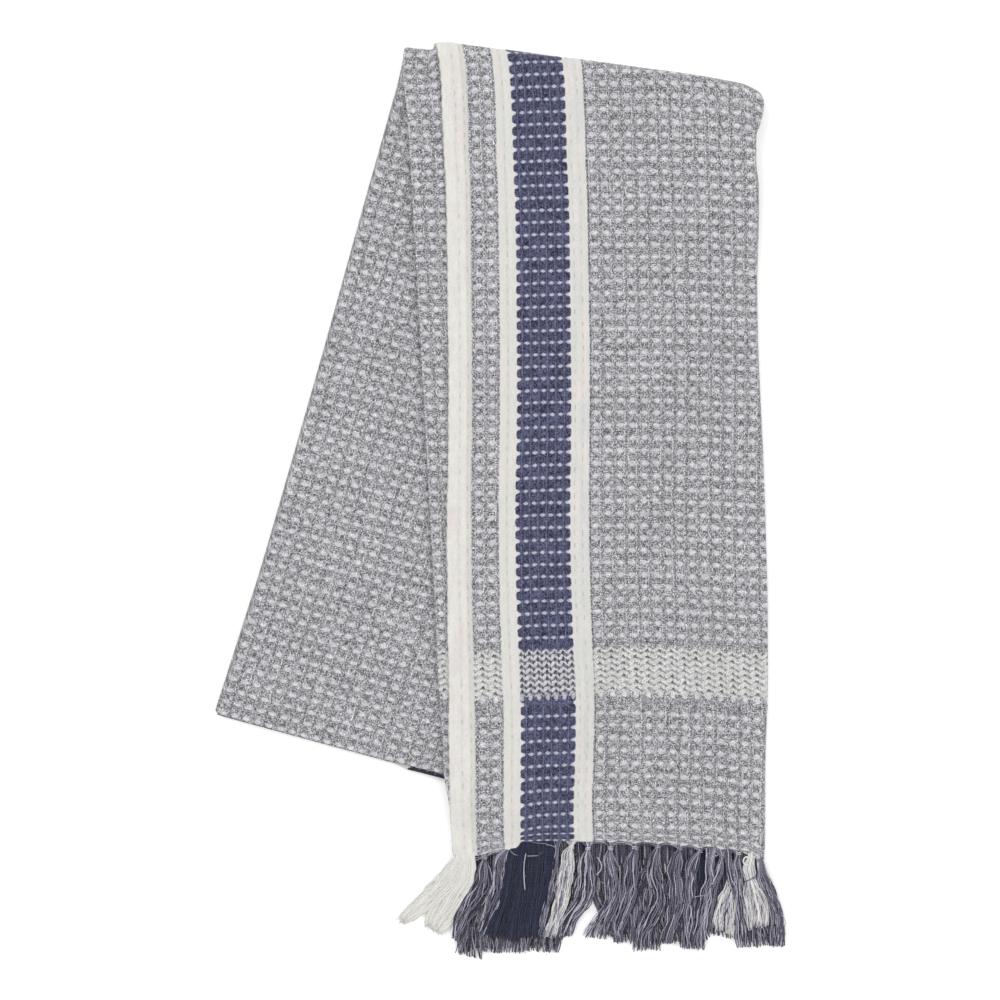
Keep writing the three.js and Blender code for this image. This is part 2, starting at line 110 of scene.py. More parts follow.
# rise of the woven end and of the crosswise yarns at shares of the top layer's width
BOW_SHARE = np.array([0, 0.06, 0.13, 0.20, 0.22, 0.39, 0.45, 0.65, 0.80, 0.92, 1])
BOWS = np.array([
    (0, -2.0, -2.4, -1.0, 1.2, 4.4, 4.4, 3.8, 3.0, 1.2, -0.2, -4.3),
    (18, -1.6, -1.6, -0.8, 1.0, 2.2, 3.0, 3.0, 1.6, 0.2, -1.2, -3.6),
    (70, -0.2, 0.0, 0.8, 1.4, 1.5, 1.6, 1.4, -0.3, -1.3, -2.0, -2.8),
    (92, -0.8, -0.6, -0.2, 0.3, 0.4, 0.8, 1.0, 1.2, 0.6, -0.3, -1.2),
    (245, -1.6, -1.3, -1.0, -0.7, -0.6, 0.1, 0.6, 0.5, 0.1, -0.2, -0.6),
    (320, -0.4, -0.2, 0, 0, 0, 0, 0, 0, 0, 0, 0),
    (345, 0, 0, 0, 0, 0, 0, 0, 0, 0, 0, 0),
], float)
# rise of the rows of the weave themselves, at the same kind of shares
ROW_SHARE = np.array([0, 0.12, 0.31, 0.49, 0.64, 0.80, 0.95, 1.0])
ROWS_RISE = np.array([
    (0, -4.6, -4.0, 0.0, 0.5, -0.5, -1.0, -3.4, -4.0),
    (62, -2.0, -1.5, 0.0, 1.3, 0.9, 0.0, -1.8, -2.2),
    (95, -2.0, -1.4, 0.0, 0.9, 0.9, -0.4, -1.8, -2.2),
    (245, -1.8, -1.3, 0.0, 0.9, 0.9, 0.45, -0.45, -0.7),
    (348, -1.8, -1.3, 0.0, 0.9, 1.1, 0.45, -0.8, -1.2),
], float)

# small drift of the rows along the cloth, and of the stripes across it from the selvedge
ROWS_DRIFT = np.array([
    (0, -0.5), (23, -0.6), (52, -0.7), (96, -0.5), (130, -0.8), (163, -0.45), (196, 0.40),
    (230, -0.35), (263, -1.2), (297, -1.3), (330, -1.3), (348, -1.1),
], float)
DRIFT_U = np.array([0, 10.2, 22.2, 29.9, 53.7, 62.4])
STRIPES_DRIFT = np.array([          # distance along the cloth, shift at each DRIFT_U
    (0, 0.0, 0.3, 0.7, 0.2, 0.0, 0.0),
    (12, 0.0, 0.8, 1.3, 1.2, 0.6, 0.4),
    (20, 0.0, 1.0, 1.5, 1.6, 1.1, 0.8),
    (34, 0.0, 1.3, 1.9, 2.1, 1.8, 1.6),
    (50, 0.0, 1.4, 2.2, 2.3, 2.3, 2.1),
    (62, 0.0, 1.2, 2.1, 2.2, 2.4, 2.3),
    (90, 0.0, 0.9, 1.5, 1.6, 1.7, 1.6),
    (112, 0.0, 0.5, 0.95, 1.0, 1.15, 1.05),
    (139, -0.3, 0.3, 0.7, 0.5, 0.6, 0.5),
    (159, -0.4, -0.15, 0.15, 0.2, 0.25, 0.1),
    (186, -0.2, -0.2, 0.3, 0.5, 0.3, 0.0),
    (232, -0.35, -0.3, 0.35, 0.5, 0.1, -0.05),
    (272, -0.5, -0.3, 0.35, 0.45, 0.0, -0.4),
    (299, -0.2, 0.35, 0.6, 0.5, 0.1, -0.1),
    (320, -0.2, 0.7, 1.2, 1.0, 0.5, 0.4),
    (346, 0.0, 1.1, 1.4, 0.95, 0.7, 0.4),
], float)

CREST = np.array([
    (-48, -3.6), (-44, -3.4), (-32, -3.0), (-28.5, -0.9), (-23, 0.1), (-16, 0),
    (22, 0.3), (36, 0.8), (60, 0.8), (78, 1.1), (88, 1.0), (98, 0.5), (106, 0.0), (111, -1.2), (114, -2.6),
    (118, -4.6),
], float)
CREST_REACH = 24

ENDS = {"top": (0.3, 667.3), "low": (1.0, 668.4), "mid": (1.2, 674.2)}
# how much further the far end of the bottom and the middle layer runs, by distance from the left fold
FAR_END = {"low": [(0, 0.9), (40, 0.6), (75, 0.1), (100, -0.9), (146, -0.9)],
           "mid": [(0, 0.6), (40, 0.1), (75, -0.4), (82, -0.3), (88, 0.7), (100, 0.2), (146, 0.0)]}
BACK_CORNER_TOP, BACK_CORNER_LOW, BACK_CORNER_LEFT = (116.7, 178.2), (12.5, -132.8), (-126.5, -96.2)
DRAPE_LEDGE, DRAPE_FALL = 4.5, 20

# soft swells: x, y, lean (deg from +Y), half length, half width, height
FRONT_SWELLS = [
    (108, 10, -1, 150, 9, 0.55), (84, 100, -6, 55, 24, 0.50), (36, 120, 2, 60, 16, 0.30),
    (92, -20, 4, 60, 20, 0.45), (-14, 40, 1, 110, 8, 0.35), (60, -120, 20, 30, 22, 0.35),
]
BACK_SWELLS = [
    (-78, 10, -16, 120, 7, 0.60), (-58, -30, -12, 60, 12, 0.70), (-96, -78, -16, 30, 10, 0.5),
    (-45, -95, 60, 20, 10, 0.35),
]


def ease(t):
    t = np.clip(t, 0, 1)
    return t * t * (3 - 2 * t)


def through(xs, ys, x):
    """Monotone cubic through the rows of a table."""
    xs, ys, x = np.asarray(xs, float), np.asarray(ys, float), np.asarray(x, float)
    h = np.diff(xs)
    d = np.diff(ys) / h
    m = np.zeros(len(xs))
    m[0], m[-1] = d[0], d[-1]
    for j in range(1, len(xs) - 1):
        a, b = d[j - 1], d[j]
        if a * b > 0:
            w1, w2 = 2 * h[j] + h[j - 1], h[j] + 2 * h[j - 1]
            m[j] = (w1 + w2) / (w1 / a + w2 / b)
    x = np.clip(x, xs[0], xs[-1])
    i = np.clip(np.searchsorted(xs, x, "right") - 1, 0, len(xs) - 2)
    t = (x - xs[i]) / h[i]
    return (ys[i] * (1 + 2 * t) * (1 - t) ** 2 + m[i] * h[i] * t * (1 - t) ** 2
            + ys[i + 1] * t * t * (3 - 2 * t) + m[i + 1] * h[i] * t * t * (t - 1))


def station(at, name):
    return through(STATIONS[:, 0], STATIONS[:, STATION_COLUMNS.index(name)], at)


def rise(table, shares, x, at, top):
    left = station(at, "selvedge")
    share = np.clip((x - left) / (station(at, "right") - left), 0, 1)
    where = np.clip(at, 0, top)
    cols = np.array([through(table[:, 0], table[:, k + 1], where) for k in range(len(shares))])
    i = np.clip(np.searchsorted(shares, share, "right") - 1, 0, len(shares) - 2)
    t = ease((share - shares[i]) / (shares[i + 1] - shares[i]))
    lo = np.take_along_axis(cols, i[None], 0)[0]
    hi = np.take_along_axis(cols, i[None] + 1, 0)[0]
    return lo * (1 - t) + hi * t


def bow(x, at):
    return rise(BOWS, BOW_SHARE, x, at, 345)


def row_rise(x, at):
    return rise(ROWS_RISE, ROW_SHARE, x, at, 348) + through(ROWS_DRIFT[:, 0], ROWS_DRIFT[:, 1], at)


def stripe_drift(u, at):
    cols = [through(STRIPES_DRIFT[:, 0], STRIPES_DRIFT[:, k + 1], at) for k in range(len(DRIFT_U))]
    u = float(np.clip(u, 0, DRIFT_U[-1]))
    i = int(np.clip(np.searchsorted(DRIFT_U, u, "right") - 1, 0, len(DRIFT_U) - 2))
    t = (u - DRIFT_U[i]) / (DRIFT_U[i + 1] - DRIFT_U[i])
    return cols[i] * (1 - t) + cols[i + 1] * t


def beyond_back(x, y):
    def side(p, q):
        l = math.hypot(q[0] - p[0], q[1] - p[1])
        return ((x - p[0]) * -(q[1] - p[1]) + (y - p[1]) * (q[0] - p[0])) / l
    return np.hypot(np.maximum(side(BACK_CORNER_TOP, BACK_CORNER_LOW), 0),
                    np.maximum(side(BACK_CORNER_LOW, BACK_CORNER_LEFT), 0))


def swell(table, x, y):
    total = np.zeros_like(x)
    for cx, cy, lean, length, width, height in table:
        r = math.radians(lean)
        u = (x - cx) * math.cos(r) + (y - cy) * math.sin(r)
        v = -(x - cx) * math.sin(r) + (y - cy) * math.cos(r)
        total += height * np.exp(-((u / width) ** 2) - (v / length) ** 2)
    return total


def waves(x, y, seed, low, high, count=14):
    """A soft uneven field of about -1 to 1, from crossing waves of low to high wavelength."""
    rng = np.random.default_rng(seed)
    total = np.zeros_like(x)
    for _ in range(count):
        a, l, p = rng.uniform(0, math.pi), rng.uniform(low, high), rng.uniform(0, 2 * math.pi)
        total += np.sin((x * math.cos(a) + y * math.sin(a)) * 2 * math.pi / l + p)
    return total / math.sqrt(count) / 1.4


def place(x, h, at):
    """Folded position of a point of the strip: x across, height h in the stack, distance at."""
    x, h, at = np.broadcast_arrays(np.asarray(x, float), np.asarray(h, float), np.asarray(at, float))
    y = FRONT_END_Y + at + bow(x, at)
    a = (x - FOLD_POINT[0]) * ALONG[0] + (y - FOLD_POINT[1]) * ALONG[1]
    d = (x - FOLD_POINT[0]) * ACROSS[0] + (y - FOLD_POINT[1]) * ACROSS[1]
    radius = h + FOLD_GAP
    share = np.clip((h - H_LOW) / (H_TOP - H_LOW), 0, 1)
    turn = np.clip(d / radius, 0, math.pi)
    off = np.where(d <= 0, d, np.where(turn < math.pi, radius * np.sin(turn), -(d - math.pi * radius)))
    z = FOLD_Z + radius * np.cos(turn)
    line_x = FOLD_POINT[0] + a * ALONG[0]
    crest = through(CREST[:, 0], CREST[:, 1], line_x) * (1 - ease(np.abs(off) / CREST_REACH))
    px = line_x + (off + crest) * ACROSS[0]
    py = FOLD_POINT[1] + a * ALONG[1] + (off + crest) * ACROSS[1]
    clear = ease(np.abs(off) / 18)
    uneven = 0.10 * waves(px, py, 5, 28, 70) + 0.05 * waves(px, py, 6, 12, 26)
    front = (h + STEP_UP * (1 - ease((beyond_back(px, py) - DRAPE_LEDGE) / DRAPE_FALL))
             + share * clear * (swell(FRONT_SWELLS, px, py) + uneven))
    opened = ease((station(np.where(at > 345, 300, at), "left") - 4 - px) / 10)
    back = z + (1 - share) * clear * opened * (swell(BACK_SWELLS, px, py) + uneven)
    z = np.where(d <= 0, front, np.where(d > math.pi * radius, back, z))
    return np.stack([px, py, z], -1)


# ---------------------------------------------------------------------------------------------
# the weave's measures: across from a selvedge (m), along from the fringe (w)
# ---------------------------------------------------------------------------------------------
COLUMN, COLUMN_AT = 5.386, 65.4            # dot columns of the grey field
STRIPS = {                                  # from, to
    "white1": (0.0, 10.2), "grey": (10.2, 22.2), "white2": (22.2, 29.9),
    "navy": (29.9, 53.7), "white3": (53.7, 62.4),
}
GREY_DOT, GREY_PITCH = 13.7, 5.3
NAVY_DOT, NAVY_PITCH = 34.25, 3.74
ROW_LOW, ROW_LOW_PITCH = 6.2, 5.524         # rows below the band
ROW_HIGH, ROW_HIGH_PITCH = 96.2, 5.4526     # rows above it
BAND = (66.9, 91.3)
ZIG_FIRST, ZIG_PITCH, ZIG_ROWS = 71.9, 2.8, 7   # dark zigzag lines
ZIG_RISE = {"grey": 1.6, "navy": 1.5}
KNOT_ROW = 70.0                             # long dots along the band's lower edge
RIBS = [0.9, 7.3, 24.0, 28.4, 57.2, 60.9]   # raised ribs in the white stripes
GROOVES = [5.2, 8.7, 25.7, 55.5, 58.9]


def cell(v, first, pitch):
    """Signed distance from the nearest line of a repeat."""
    r = (v - first) / pitch
    return (r - np.round(r)) * pitch


def bump(d, reach):
    return np.clip(1 - (d / reach) ** 2, 0, 1)


def relief(u, w):
    """Height of the face over its mean, from about -0.16 to 0.2 mm."""
    m = np.minimum(u, WIDTH - u)
    dy = np.where(w < 79, cell(w, ROW_LOW, ROW_LOW_PITCH), cell(w, ROW_HIGH, ROW_HIGH_PITCH))
    in_band = (w > BAND[0]) & (w < BAND[1])
    field = m > STRIPS["white3"][1]
    grey = (m > STRIPS["grey"][0]) & (m < STRIPS["grey"][1])
    navy = (m > STRIPS["navy"][0]) & (m < STRIPS["navy"][1])
    out = np.full_like(u, -0.02)

    def dots(first, pitch, rx, ry, high):
        dx = cell(m, first, pitch)
        dot = np.clip(1 - (dx / rx) ** 2 - (dy / ry) ** 2, 0, 1)
        wall = 0.10 * np.exp(-((np.abs(dx) - pitch / 2) / 0.8) ** 2)
        return -0.15 + high * np.sqrt(dot) + wall

    out = np.where(field, dots(COLUMN_AT, COLUMN, 1.9, 1.5, 0.23), out)
    out = np.where(grey, dots(GREY_DOT, GREY_PITCH, 1.9, 1.5, 0.23), out)
    # navy: raised bars between the dot rows, with the dots sunk among them
    bars = 0.15 - 0.24 * np.exp(-(dy / 1.15) ** 2)
    out = np.where(navy, bars, out)
    line = np.zeros_like(u)
    for r in RIBS:
        line = np.maximum(line, np.exp(-((m - r) / 1.2) ** 2))
    for g in GROOVES:
        line = line - 0.9 * np.exp(-((m - g) / 0.7) ** 2)
    ripple = 0.05 * np.cos(dy * 2 * math.pi / ROW_HIGH_PITCH)
    white = (~field) & (~grey) & (~navy)
    out = np.where(white, -0.03 + 0.17 * line + ripple, out)
    pitch = np.where(navy, NAVY_PITCH, np.where(grey, GREY_PITCH, COLUMN))
    first = np.where(navy, NAVY_DOT, np.where(grey, GREY_DOT, COLUMN_AT))
    tri = np.abs(((m - first) / pitch + 0.5) % 1 - 0.5) * 2           # 0 at a dot column
    climb = np.where(navy, ZIG_RISE["navy"], ZIG_RISE["grey"])
    ph = cell(w + climb * (tri - 0.5), ZIG_FIRST, ZIG_PITCH) / ZIG_PITCH
    out = np.where(in_band & ~white & (w > 70.3), 0.02 - 0.11 * np.cos(ph * 2 * math.pi), out)
    return out


# ---------------------------------------------------------------------------------------------
# the sheet: columns across the C-shaped section, rows along the cloth
# ---------------------------------------------------------------------------------------------
U_TOP = 137.0                        # nominal developed places, only for joining rows
U_LEFT = 284.0                       # developed place of the left fold
ARC_RIGHT, ARC_LEFT = math.pi * PITCH, math.pi * PITCH / 2


def right_centre(at):
    return station(at, "right") - HALF - PITCH


def left_centre(at):
    return station(at, "left") + HALF + PITCH / 2


class Column:
    """One column of the sheet: a layer, an offset from the layer's first edge, and a share of
    what is left to its other edge."""

    def __init__(self, layer, offset, share=0.0, fine=1.0):
        self.layer, self.offset, self.share, self.fine = layer, offset, share, fine
        if layer == "top":
            self.order = offset + (U_TOP - offset) * share
        elif layer == "right":
            self.order = U_TOP + 5.3 * share
        elif layer == "low":
            self.order = U_TOP + 5.3 + 146 - (offset + (146 - offset) * share)
        elif layer == "left":
            self.order = U_TOP + 5.3 + 146 + 2.6 * share
        else:
            self.order = U_TOP + 5.3 + 146 + 2.6 + offset + (136 - offset) * share


def column_state(c, at):
    """x, height, face direction and developed place of a column at a distance along the cloth."""
    xs, xr, xl = station(at, "selvedge"), right_centre(at), left_centre(at)
    if c.layer == "top":
        base = c.offset + stripe_drift(c.offset, at)
        rest = (xr - xs - base) * c.share
        return xs + base + rest, H_TOP, 0.0, 1.0, c.offset + rest
    end = xr - xs - stripe_drift(100.0, at)
    if c.layer == "right":
        t = math.pi * c.share
        return xr + PITCH * math.sin(t), H_MID + PITCH * math.cos(t), math.sin(t), math.cos(t), \
            end + ARC_RIGHT * c.share
    if c.layer == "low":
        b = c.offset + (xr - xl - c.offset) * c.share
        near = np.minimum(b, 118)
        rest = np.clip((b - 118) / np.maximum(xr - xl - 118, 1), 0, 1)
        u = U_LEFT - near + (end + ARC_RIGHT - (U_LEFT - 118)) * rest
        return xl + b, H_LOW, 0.0, -1.0, u
    if c.layer == "left":
        t = math.pi * c.share
        r = PITCH / 2
        return xl - r * math.sin(t), H_LOW + r - r * math.cos(t), -math.sin(t), -math.cos(t), \
            U_LEFT + ARC_LEFT * c.share + 0 * at
    free = station(at, "free")
    b = c.offset + (free - xl - c.offset) * c.share
    near = np.minimum(b, 25)
    rest = np.clip((b - 25) / np.maximum(free - xl - 25, 1), 0, 1)
    rest = rest ** (1 + 0.17 * ease((at - 560) / 60))
    u = U_LEFT + ARC_LEFT + near + (WIDTH - (U_LEFT + ARC_LEFT + 25)) * rest
    return xl + b, H_MID, 0.0, 1.0, u


def layer_ends(c):
    def far(layer, b):
        x, y = zip(*FAR_END[layer])
        return ENDS[layer][0], ENDS[layer][1] + float(np.interp(b, x, y))

    if c.layer in FAR_END:
        return far(c.layer, c.offset + (140 - c.offset) * c.share)
    if c.layer == "top":
        return ENDS["top"]
    a, b = (ENDS["top"], far("low", 146)) if c.layer == "right" else (far("low", 0), far("mid", 0))
    s = float(ease(c.share))
    return a[0] + (b[0] - a[0]) * s, a[1] + (b[1] - a[1]) * s


PX = FRAME_MM / 1000
KNOTS = [484.5, 508.6, 588, 610.5, 634.5, 658, 680, 700, 722, 738.5, 761]


def arch(x):
    """How far the woven end is drawn up between the knots, mm."""
    k = (np.array(KNOTS) - 501) * PX
    i = np.clip(np.searchsorted(k, x, "right") - 1, 0, len(k) - 2)
    t = np.clip((x - k[i]) / (k[i + 1] - k[i]), 0, 1)
    inside = (x > k[0]) & (x < k[-1]) & (i != 1)
    return np.where(inside, 1.25 * np.sin(math.pi * t) ** 0.7 - 0.35, 0.0)


def at_of(c, w):
    """Distance along the cloth of the row w of the weave in a column."""
    w = np.asarray(w, float)
    if c.layer == "top":
        keep = 1.0
    elif c.layer == "right":
        keep = 1.0
    elif c.layer == "low":
        keep = float(ease((c.order - U_TOP - 5.3) / 40) * -1 + 1)
    else:
        keep = 0.0
    at = w.copy()
    if keep:
        low = np.maximum(w, 11.0)
        at = low.copy()
        for _ in range(8):
            x = column_state(c, at)[0]
            if c.layer != "top":
                x = station(at, "right") + 0 * at
            at = low + (row_rise(x, at) - bow(x, at)) * keep
        at = np.where(w < 11, at * w / 11, at)
    start, end = layer_ends(c)
    at = np.where(w < 11, start + (at - start * (w / 11)) * 1.0, at)
    if c.layer == "top":
        at = at + arch(column_state(c, at)[0]) * np.clip(1 - w / 7, 0, 1) ** 1.5
    at = np.where(w > 640, 640 + (w - 640) * (end - 640) / (670.3 - 640), at)
    return at


def spread(a, b, step):
    n = max(1, int(round((b - a) / step)))
    return [a + (b - a) * i / n for i in range(n)]


FINE = 1.0772
TOP_FINE = (
    [0, 0.5, 1.3, 2.3, 3.4, 4.3, 4.9, 5.5, 6.3, 7.3, 8.2, 9.2, 10.1]
    + [10.7, 11.7, 12.8, 13.8, 14.7, 15.6, 16.6, 17.6, 18.6, 19.7, 20.75, 21.7]
    + [22.4, 23.2, 24.0, 25.1, 26.2, 27.3, 28.4, 29.3]
    + [30.1, 31.08] + [31.08 + 0.8925 * k for k in range(1, 25)] + [53.3]
    + [53.9, 55.3, 56.7, 58.2, 59.5, 60.9, 61.9]
    + [62.6, 63.25, 64.32] + [COLUMN_AT + FINE * k for k in range(0, 59)]
)
TOP_STRETCH = [(k + 1) / 8 for k in range(8)]


def columns_front():
    cols = [Column("top", o) for o in TOP_FINE]
    last = TOP_FINE[-1]
    cols += [Column("top", last, s) for s in TOP_STRETCH]
    cols += [Column("right", 0, k / 8) for k in range(1, 8)]
    cols += [Column("low", 118, 1 - k / 2, 0) for k in range(2)]
    cols += [Column("low", b, 0, 0) for b in (118, 104, 90, 76, 62, 48, 34, 20, 8, 2.5, 0)]
    cols += [Column("left", 0, k / 6) for k in range(1, 6)]
    cols += [Column("mid", FINE * k) for k in range(0, 19)]
    cols += [Column("mid", b, 0, 0) for b in (23, 34, 48, 62, 76, 90, 104)]
    cols += [Column("mid", 104, s, 0) for s in (0.5, 1.0)]
    return cols


def columns_back(reach):
    step = COLUMN / 4
    cols = [Column("top", o, 0, 0) for o in (0, 3, 10, 22, 34, 46, 58, 72, 86, 100, 114)]
    cols += [Column("top", 114, s, 0) for s in (0.5, 1.0)]
    cols += [Column("right", 0, k / 6, 0) for k in range(1, 6)]
    cols += [Column("low", 118, 1 - k / 2, 0) for k in range(2)]
    n = int(reach / step)
    coarse = [b for b in (118, 106, 94, 82, 70, 58, 46, 34) if b > n * step + 3]
    cols += [Column("low", b, 0, 0) for b in coarse]
    cols += [Column("low", step * k) for k in range(n, -1, -1)]
    cols += [Column("left", 0, k / 6) for k in range(1, 6)]
    cols += [Column("mid", b, 0, 0) for b in (0, 3, 8, 20, 34, 48, 62, 76, 82, 85, 88, 94, 104)]
    cols += [Column("mid", 104, s, 0) for s in (0.5, 1.0)]
    return cols


def columns_reverse():
    cols = [Column("top", o, 0, 0) for o in (0, 4, 12, 24, 36, 48, 60, 74, 88, 102, 116)]
    cols += [Column("top", 116, s, 0) for s in (0.5, 1.0)]
    cols += [Column("right", 0, k / 6, 0) for k in range(1, 6)]
    cols += [Column("low", 118, 1 - k / 2, 0) for k in range(2)]
    cols += [Column("low", b, 0, 0) for b in (118, 104, 90, 76, 62, 48, 34, 20, 8, 2.5, 0)]
    cols += [Column("left", 0, k / 4, 0) for k in range(1, 4)]
    cols += [Column("mid", b, 0, 0) for b in (0, 3, 10, 20, 34, 48, 62, 76, 82, 88, 94, 104)]
    cols += [Column("mid", 104, s, 0) for s in (0.5, 1.0)]
    return cols


# rows of the face
step_low, step_high = ROW_LOW_PITCH / 5, ROW_HIGH_PITCH / 5
rows_w = [0.0, 0.6] + [ROW_LOW + step_low * k for k in range(-4, 55)]
rows_w = [w for w in rows_w if w < BAND[0] - 0.5]
rows_w += [BAND[0] + ZIG_PITCH / 3 * k for k in range(0, 27)]
start_high = ROW_HIGH - 4 * step_high
rows_w += [start_high + step_high * k for k in range(0, 262)]
SPLIT = 374.0
rows_w = [w for w in rows_w if w < SPLIT]
front_rows = rows_w
back_start = rows_w[-1]
step_back = ROW_HIGH_PITCH / 4
back_rows = [back_start + step_back * k for k in range(1, 300)]
back_rows = [w for w in back_rows if w < 669.2] + [669.7, 670.3]
BLOCKS = [(SPLIT, 440, 36), (440, 505, 58), (505, 570, 80), (570, 625, 99), (625, 700, 118)]
reverse_rows = ([0, 2.5, 6] + spread(12, 330, 9) + spread(330, 376, 1.3) + spread(376, 664, 9)
                + [664, 668.5, 670.3])


class Sheet:
    """Gathers the vertices and faces of the cloth."""

    def __init__(self):
        self.points, self.uv, self.tris, self.count = [], [], [], 0

    def add(self, points, uv):
        first = self.count
        self.points.append(points)
        self.uv.append(uv)
        self.count += len(points)
        return np.arange(first, self.count)

    def grid(self, ids, flip=False):
        a, b = ids[:-1, :-1].ravel(), ids[:-1, 1:].ravel()
        c, d = ids[1:, 1:].ravel(), ids[1:, :-1].ravel()
        t = np.concatenate([np.stack([a, b, c], 1), np.stack([a, c, d], 1)])
        self.tris.append(t[:, ::-1] if flip else t)

    def zip(self, ids_a, pa, ids_b, pb, flip=False):
        """Triangles between two rows with places pa and pb along them."""
        i = j = 0
        out = []
        na, nb = len(ids_a), len(ids_b)
        while i < na - 1 or j < nb - 1:
            if j >= nb - 1 or (i < na - 1 and pa[i + 1] <= pb[j + 1]):
                out.append((ids_a[i], ids_a[i + 1], ids_b[j]))
                i += 1
            else:
                out.append((ids_a[i], ids_b[j + 1], ids_b[j]))
                j += 1
        t = np.array(out)
        self.tris.append(t[:, ::-1] if flip else t)


def edge_wander(u, w):
    """How far the free edges stand in or out, mm outward."""
    return 0.16 * np.cos(cell(w, ROW_HIGH, ROW_HIGH_PITCH) * 2 * math.pi / ROW_HIGH_PITCH) \
        + 0.10 * np.sin(w / 7.3) + 0.08 * np.sin(w / 3.1 + 1)


def side_points(cols, rows, sign):
    """Points and weave places of one side of the cloth, rows by columns."""
    rows = np.asarray(rows, float)
    pts = np.zeros((len(rows), len(cols), 3))
    uv = np.zeros((len(rows), len(cols), 2))
    for j, c in enumerate(cols):
        at = at_of(c, rows)
        x, h, nx, nh, u = column_state(c, at)
        u = u + 0 * rows
        high = relief(u, rows) * c.fine if sign > 0 else 0.0
        t = sign * (HALF + high)
        wander = edge_wander(u, rows)
        if c.layer == "top" and c.offset < 1 and c.share == 0:
            x = x - wander
        pts[:, j] = place(x + nx * t, h + nh * t, at)
        uv[:, j, 0] = u
        uv[:, j, 1] = rows
    return pts, uv


def build_sheet():
    s = Sheet()
    bands = [(columns_front(), front_rows)]
    for lo, hi, reach in BLOCKS:
        rows = [w for w in back_rows if lo <= w < hi or (lo == SPLIT and w < hi)]
        bands.append((columns_back(reach), rows))
    face = []                                     # per row: ids, orders
    for cols, rows in bands:
        pts, uv = side_points(cols, rows, 1)
        ids = s.add(pts.reshape(-1, 3), uv.reshape(-1, 2)).reshape(len(rows), len(cols))
        order = np.array([c.order for c in cols])
        if len(rows) > 1:
            s.grid(ids)
        if face:
            s.zip(face[-1][0], face[-1][1], ids[0], order)
        for k in range(len(rows)):
            face.append((ids[k], order, rows[k]))
    rcols = columns_reverse()
    rpts, ruv = side_points(rcols, reverse_rows, -1)
    rids = s.add(rpts.reshape(-1, 3), ruv.reshape(-1, 2)).reshape(len(reverse_rows), len(rcols))
    rorder = np.array([c.order for c in rcols])
    s.grid(rids, flip=True)

    # rims: the face's border, a rounded middle line, and the border of the reverse
    def rim(face_ids, face_place, reverse_ids, reverse_place, flip):
        P = np.concatenate(s.points)
        U = np.concatenate(s.uv)
        f = P[face_ids]
        r = np.stack([np.interp(face_place, reverse_place, P[reverse_ids][:, k]) for k in range(3)], 1)
        mid = (f + r) / 2
        thick = f - r
        run = np.gradient(mid, axis=0)
        out = np.cross(run, thick)
        out /= np.maximum(np.linalg.norm(out, axis=1, keepdims=True), 1e-9)
        if flip:
            out = -out
        mid_ids = s.add(mid + out * 0.22, U[face_ids])
        s.grid(np.stack([face_ids, mid_ids]), flip=flip)
        s.zip(mid_ids, face_place, reverse_ids, reverse_place, flip=flip)
        return mid_ids

    rows_all = np.array([f[2] for f in face])
    left_face = np.array([f[0][0] for f in face])
    right_face = np.array([f[0][-1] for f in face])
    rr = np.array(reverse_rows, float)
    loops = []
    loops.append(rim(left_face, rows_all, rids[:, 0], rr, True))
    loops.append(rim(right_face, rows_all, rids[:, -1], rr, False))
    loops.append(rim(face[0][0], face[0][1], rids[0], rorder, False))
    loops.append(rim(face[-1][0], face[-1][1], rids[-1], rorder, True))
    # close the four corners, where two rims' middle lines end at the same rim corner
    l, r, a, b = loops
    corners = [
        (left_face[0], l[0], a[0], rids[0, 0]), (right_face[0], a[-1], r[0], rids[0, -1]),
        (left_face[-1], b[0], l[-1], rids[-1, 0]), (right_face[-1], r[-1], b[-1], rids[-1, -1]),
    ]
    for f, p, q, g in corners:
        s.tris.append(np.array([(f, q, p), (p, q, g)]))
    return s


def mesh_object(name, points, tris, smooth=True, uv=None, loop_uv=None):
    mesh = bpy.data.meshes.new(name)
    mesh.vertices.add(len(points))
    mesh.vertices.foreach_set("co", ((np.asarray(points) + SHIFT) * MM).astype(np.float32).ravel())
    mesh.loops.add(len(tris) * 3)
    mesh.polygons.add(len(tris))
    mesh.loops.foreach_set("vertex_index", np.asarray(tris, np.int32).ravel())
    mesh.polygons.foreach_set("loop_start", np.arange(0, len(tris) * 3, 3, dtype=np.int32))
    mesh.polygons.foreach_set("loop_total", np.full(len(tris), 3, np.int32))
    if uv is not None:
        layer = mesh.uv_layers.new(name="weave")
        layer.data.foreach_set("uv", np.asarray(uv, np.float32)[np.asarray(tris).ravel()].ravel())
    if loop_uv is not None:
        layer = mesh.uv_layers.new(name="yarn")
        layer.data.foreach_set("uv", np.asarray(loop_uv, np.float32).ravel())
    mesh.update(calc_edges=True)
    mesh.polygons.foreach_set("use_smooth", np.full(len(mesh.polygons), smooth))
    obj = bpy.data.objects.new(name, mesh)
    bpy.context.scene.collection.objects.link(obj)
    return obj


sheet = build_sheet()
P = np.concatenate(sheet.points)
UV = np.concatenate(sheet.uv)
T = np.concatenate(sheet.tris)
P[:, 2] = np.where(P[:, 2] < 0.10, 0.02 + 0.08 * np.exp((P[:, 2] - 0.10) / 0.08), P[:, 2])
volume = np.einsum("ij,ij->i", P[T[:, 0]], np.cross(P[T[:, 1]], P[T[:, 2]])).sum() / 6
if volume < 0:
    T = T[:, ::-1]
print("towel", len(P), "points", len(T), "triangles, volume", round(volume / 1000, 1), "cm3")
towel = mesh_object("towel", P, T, uv=UV)

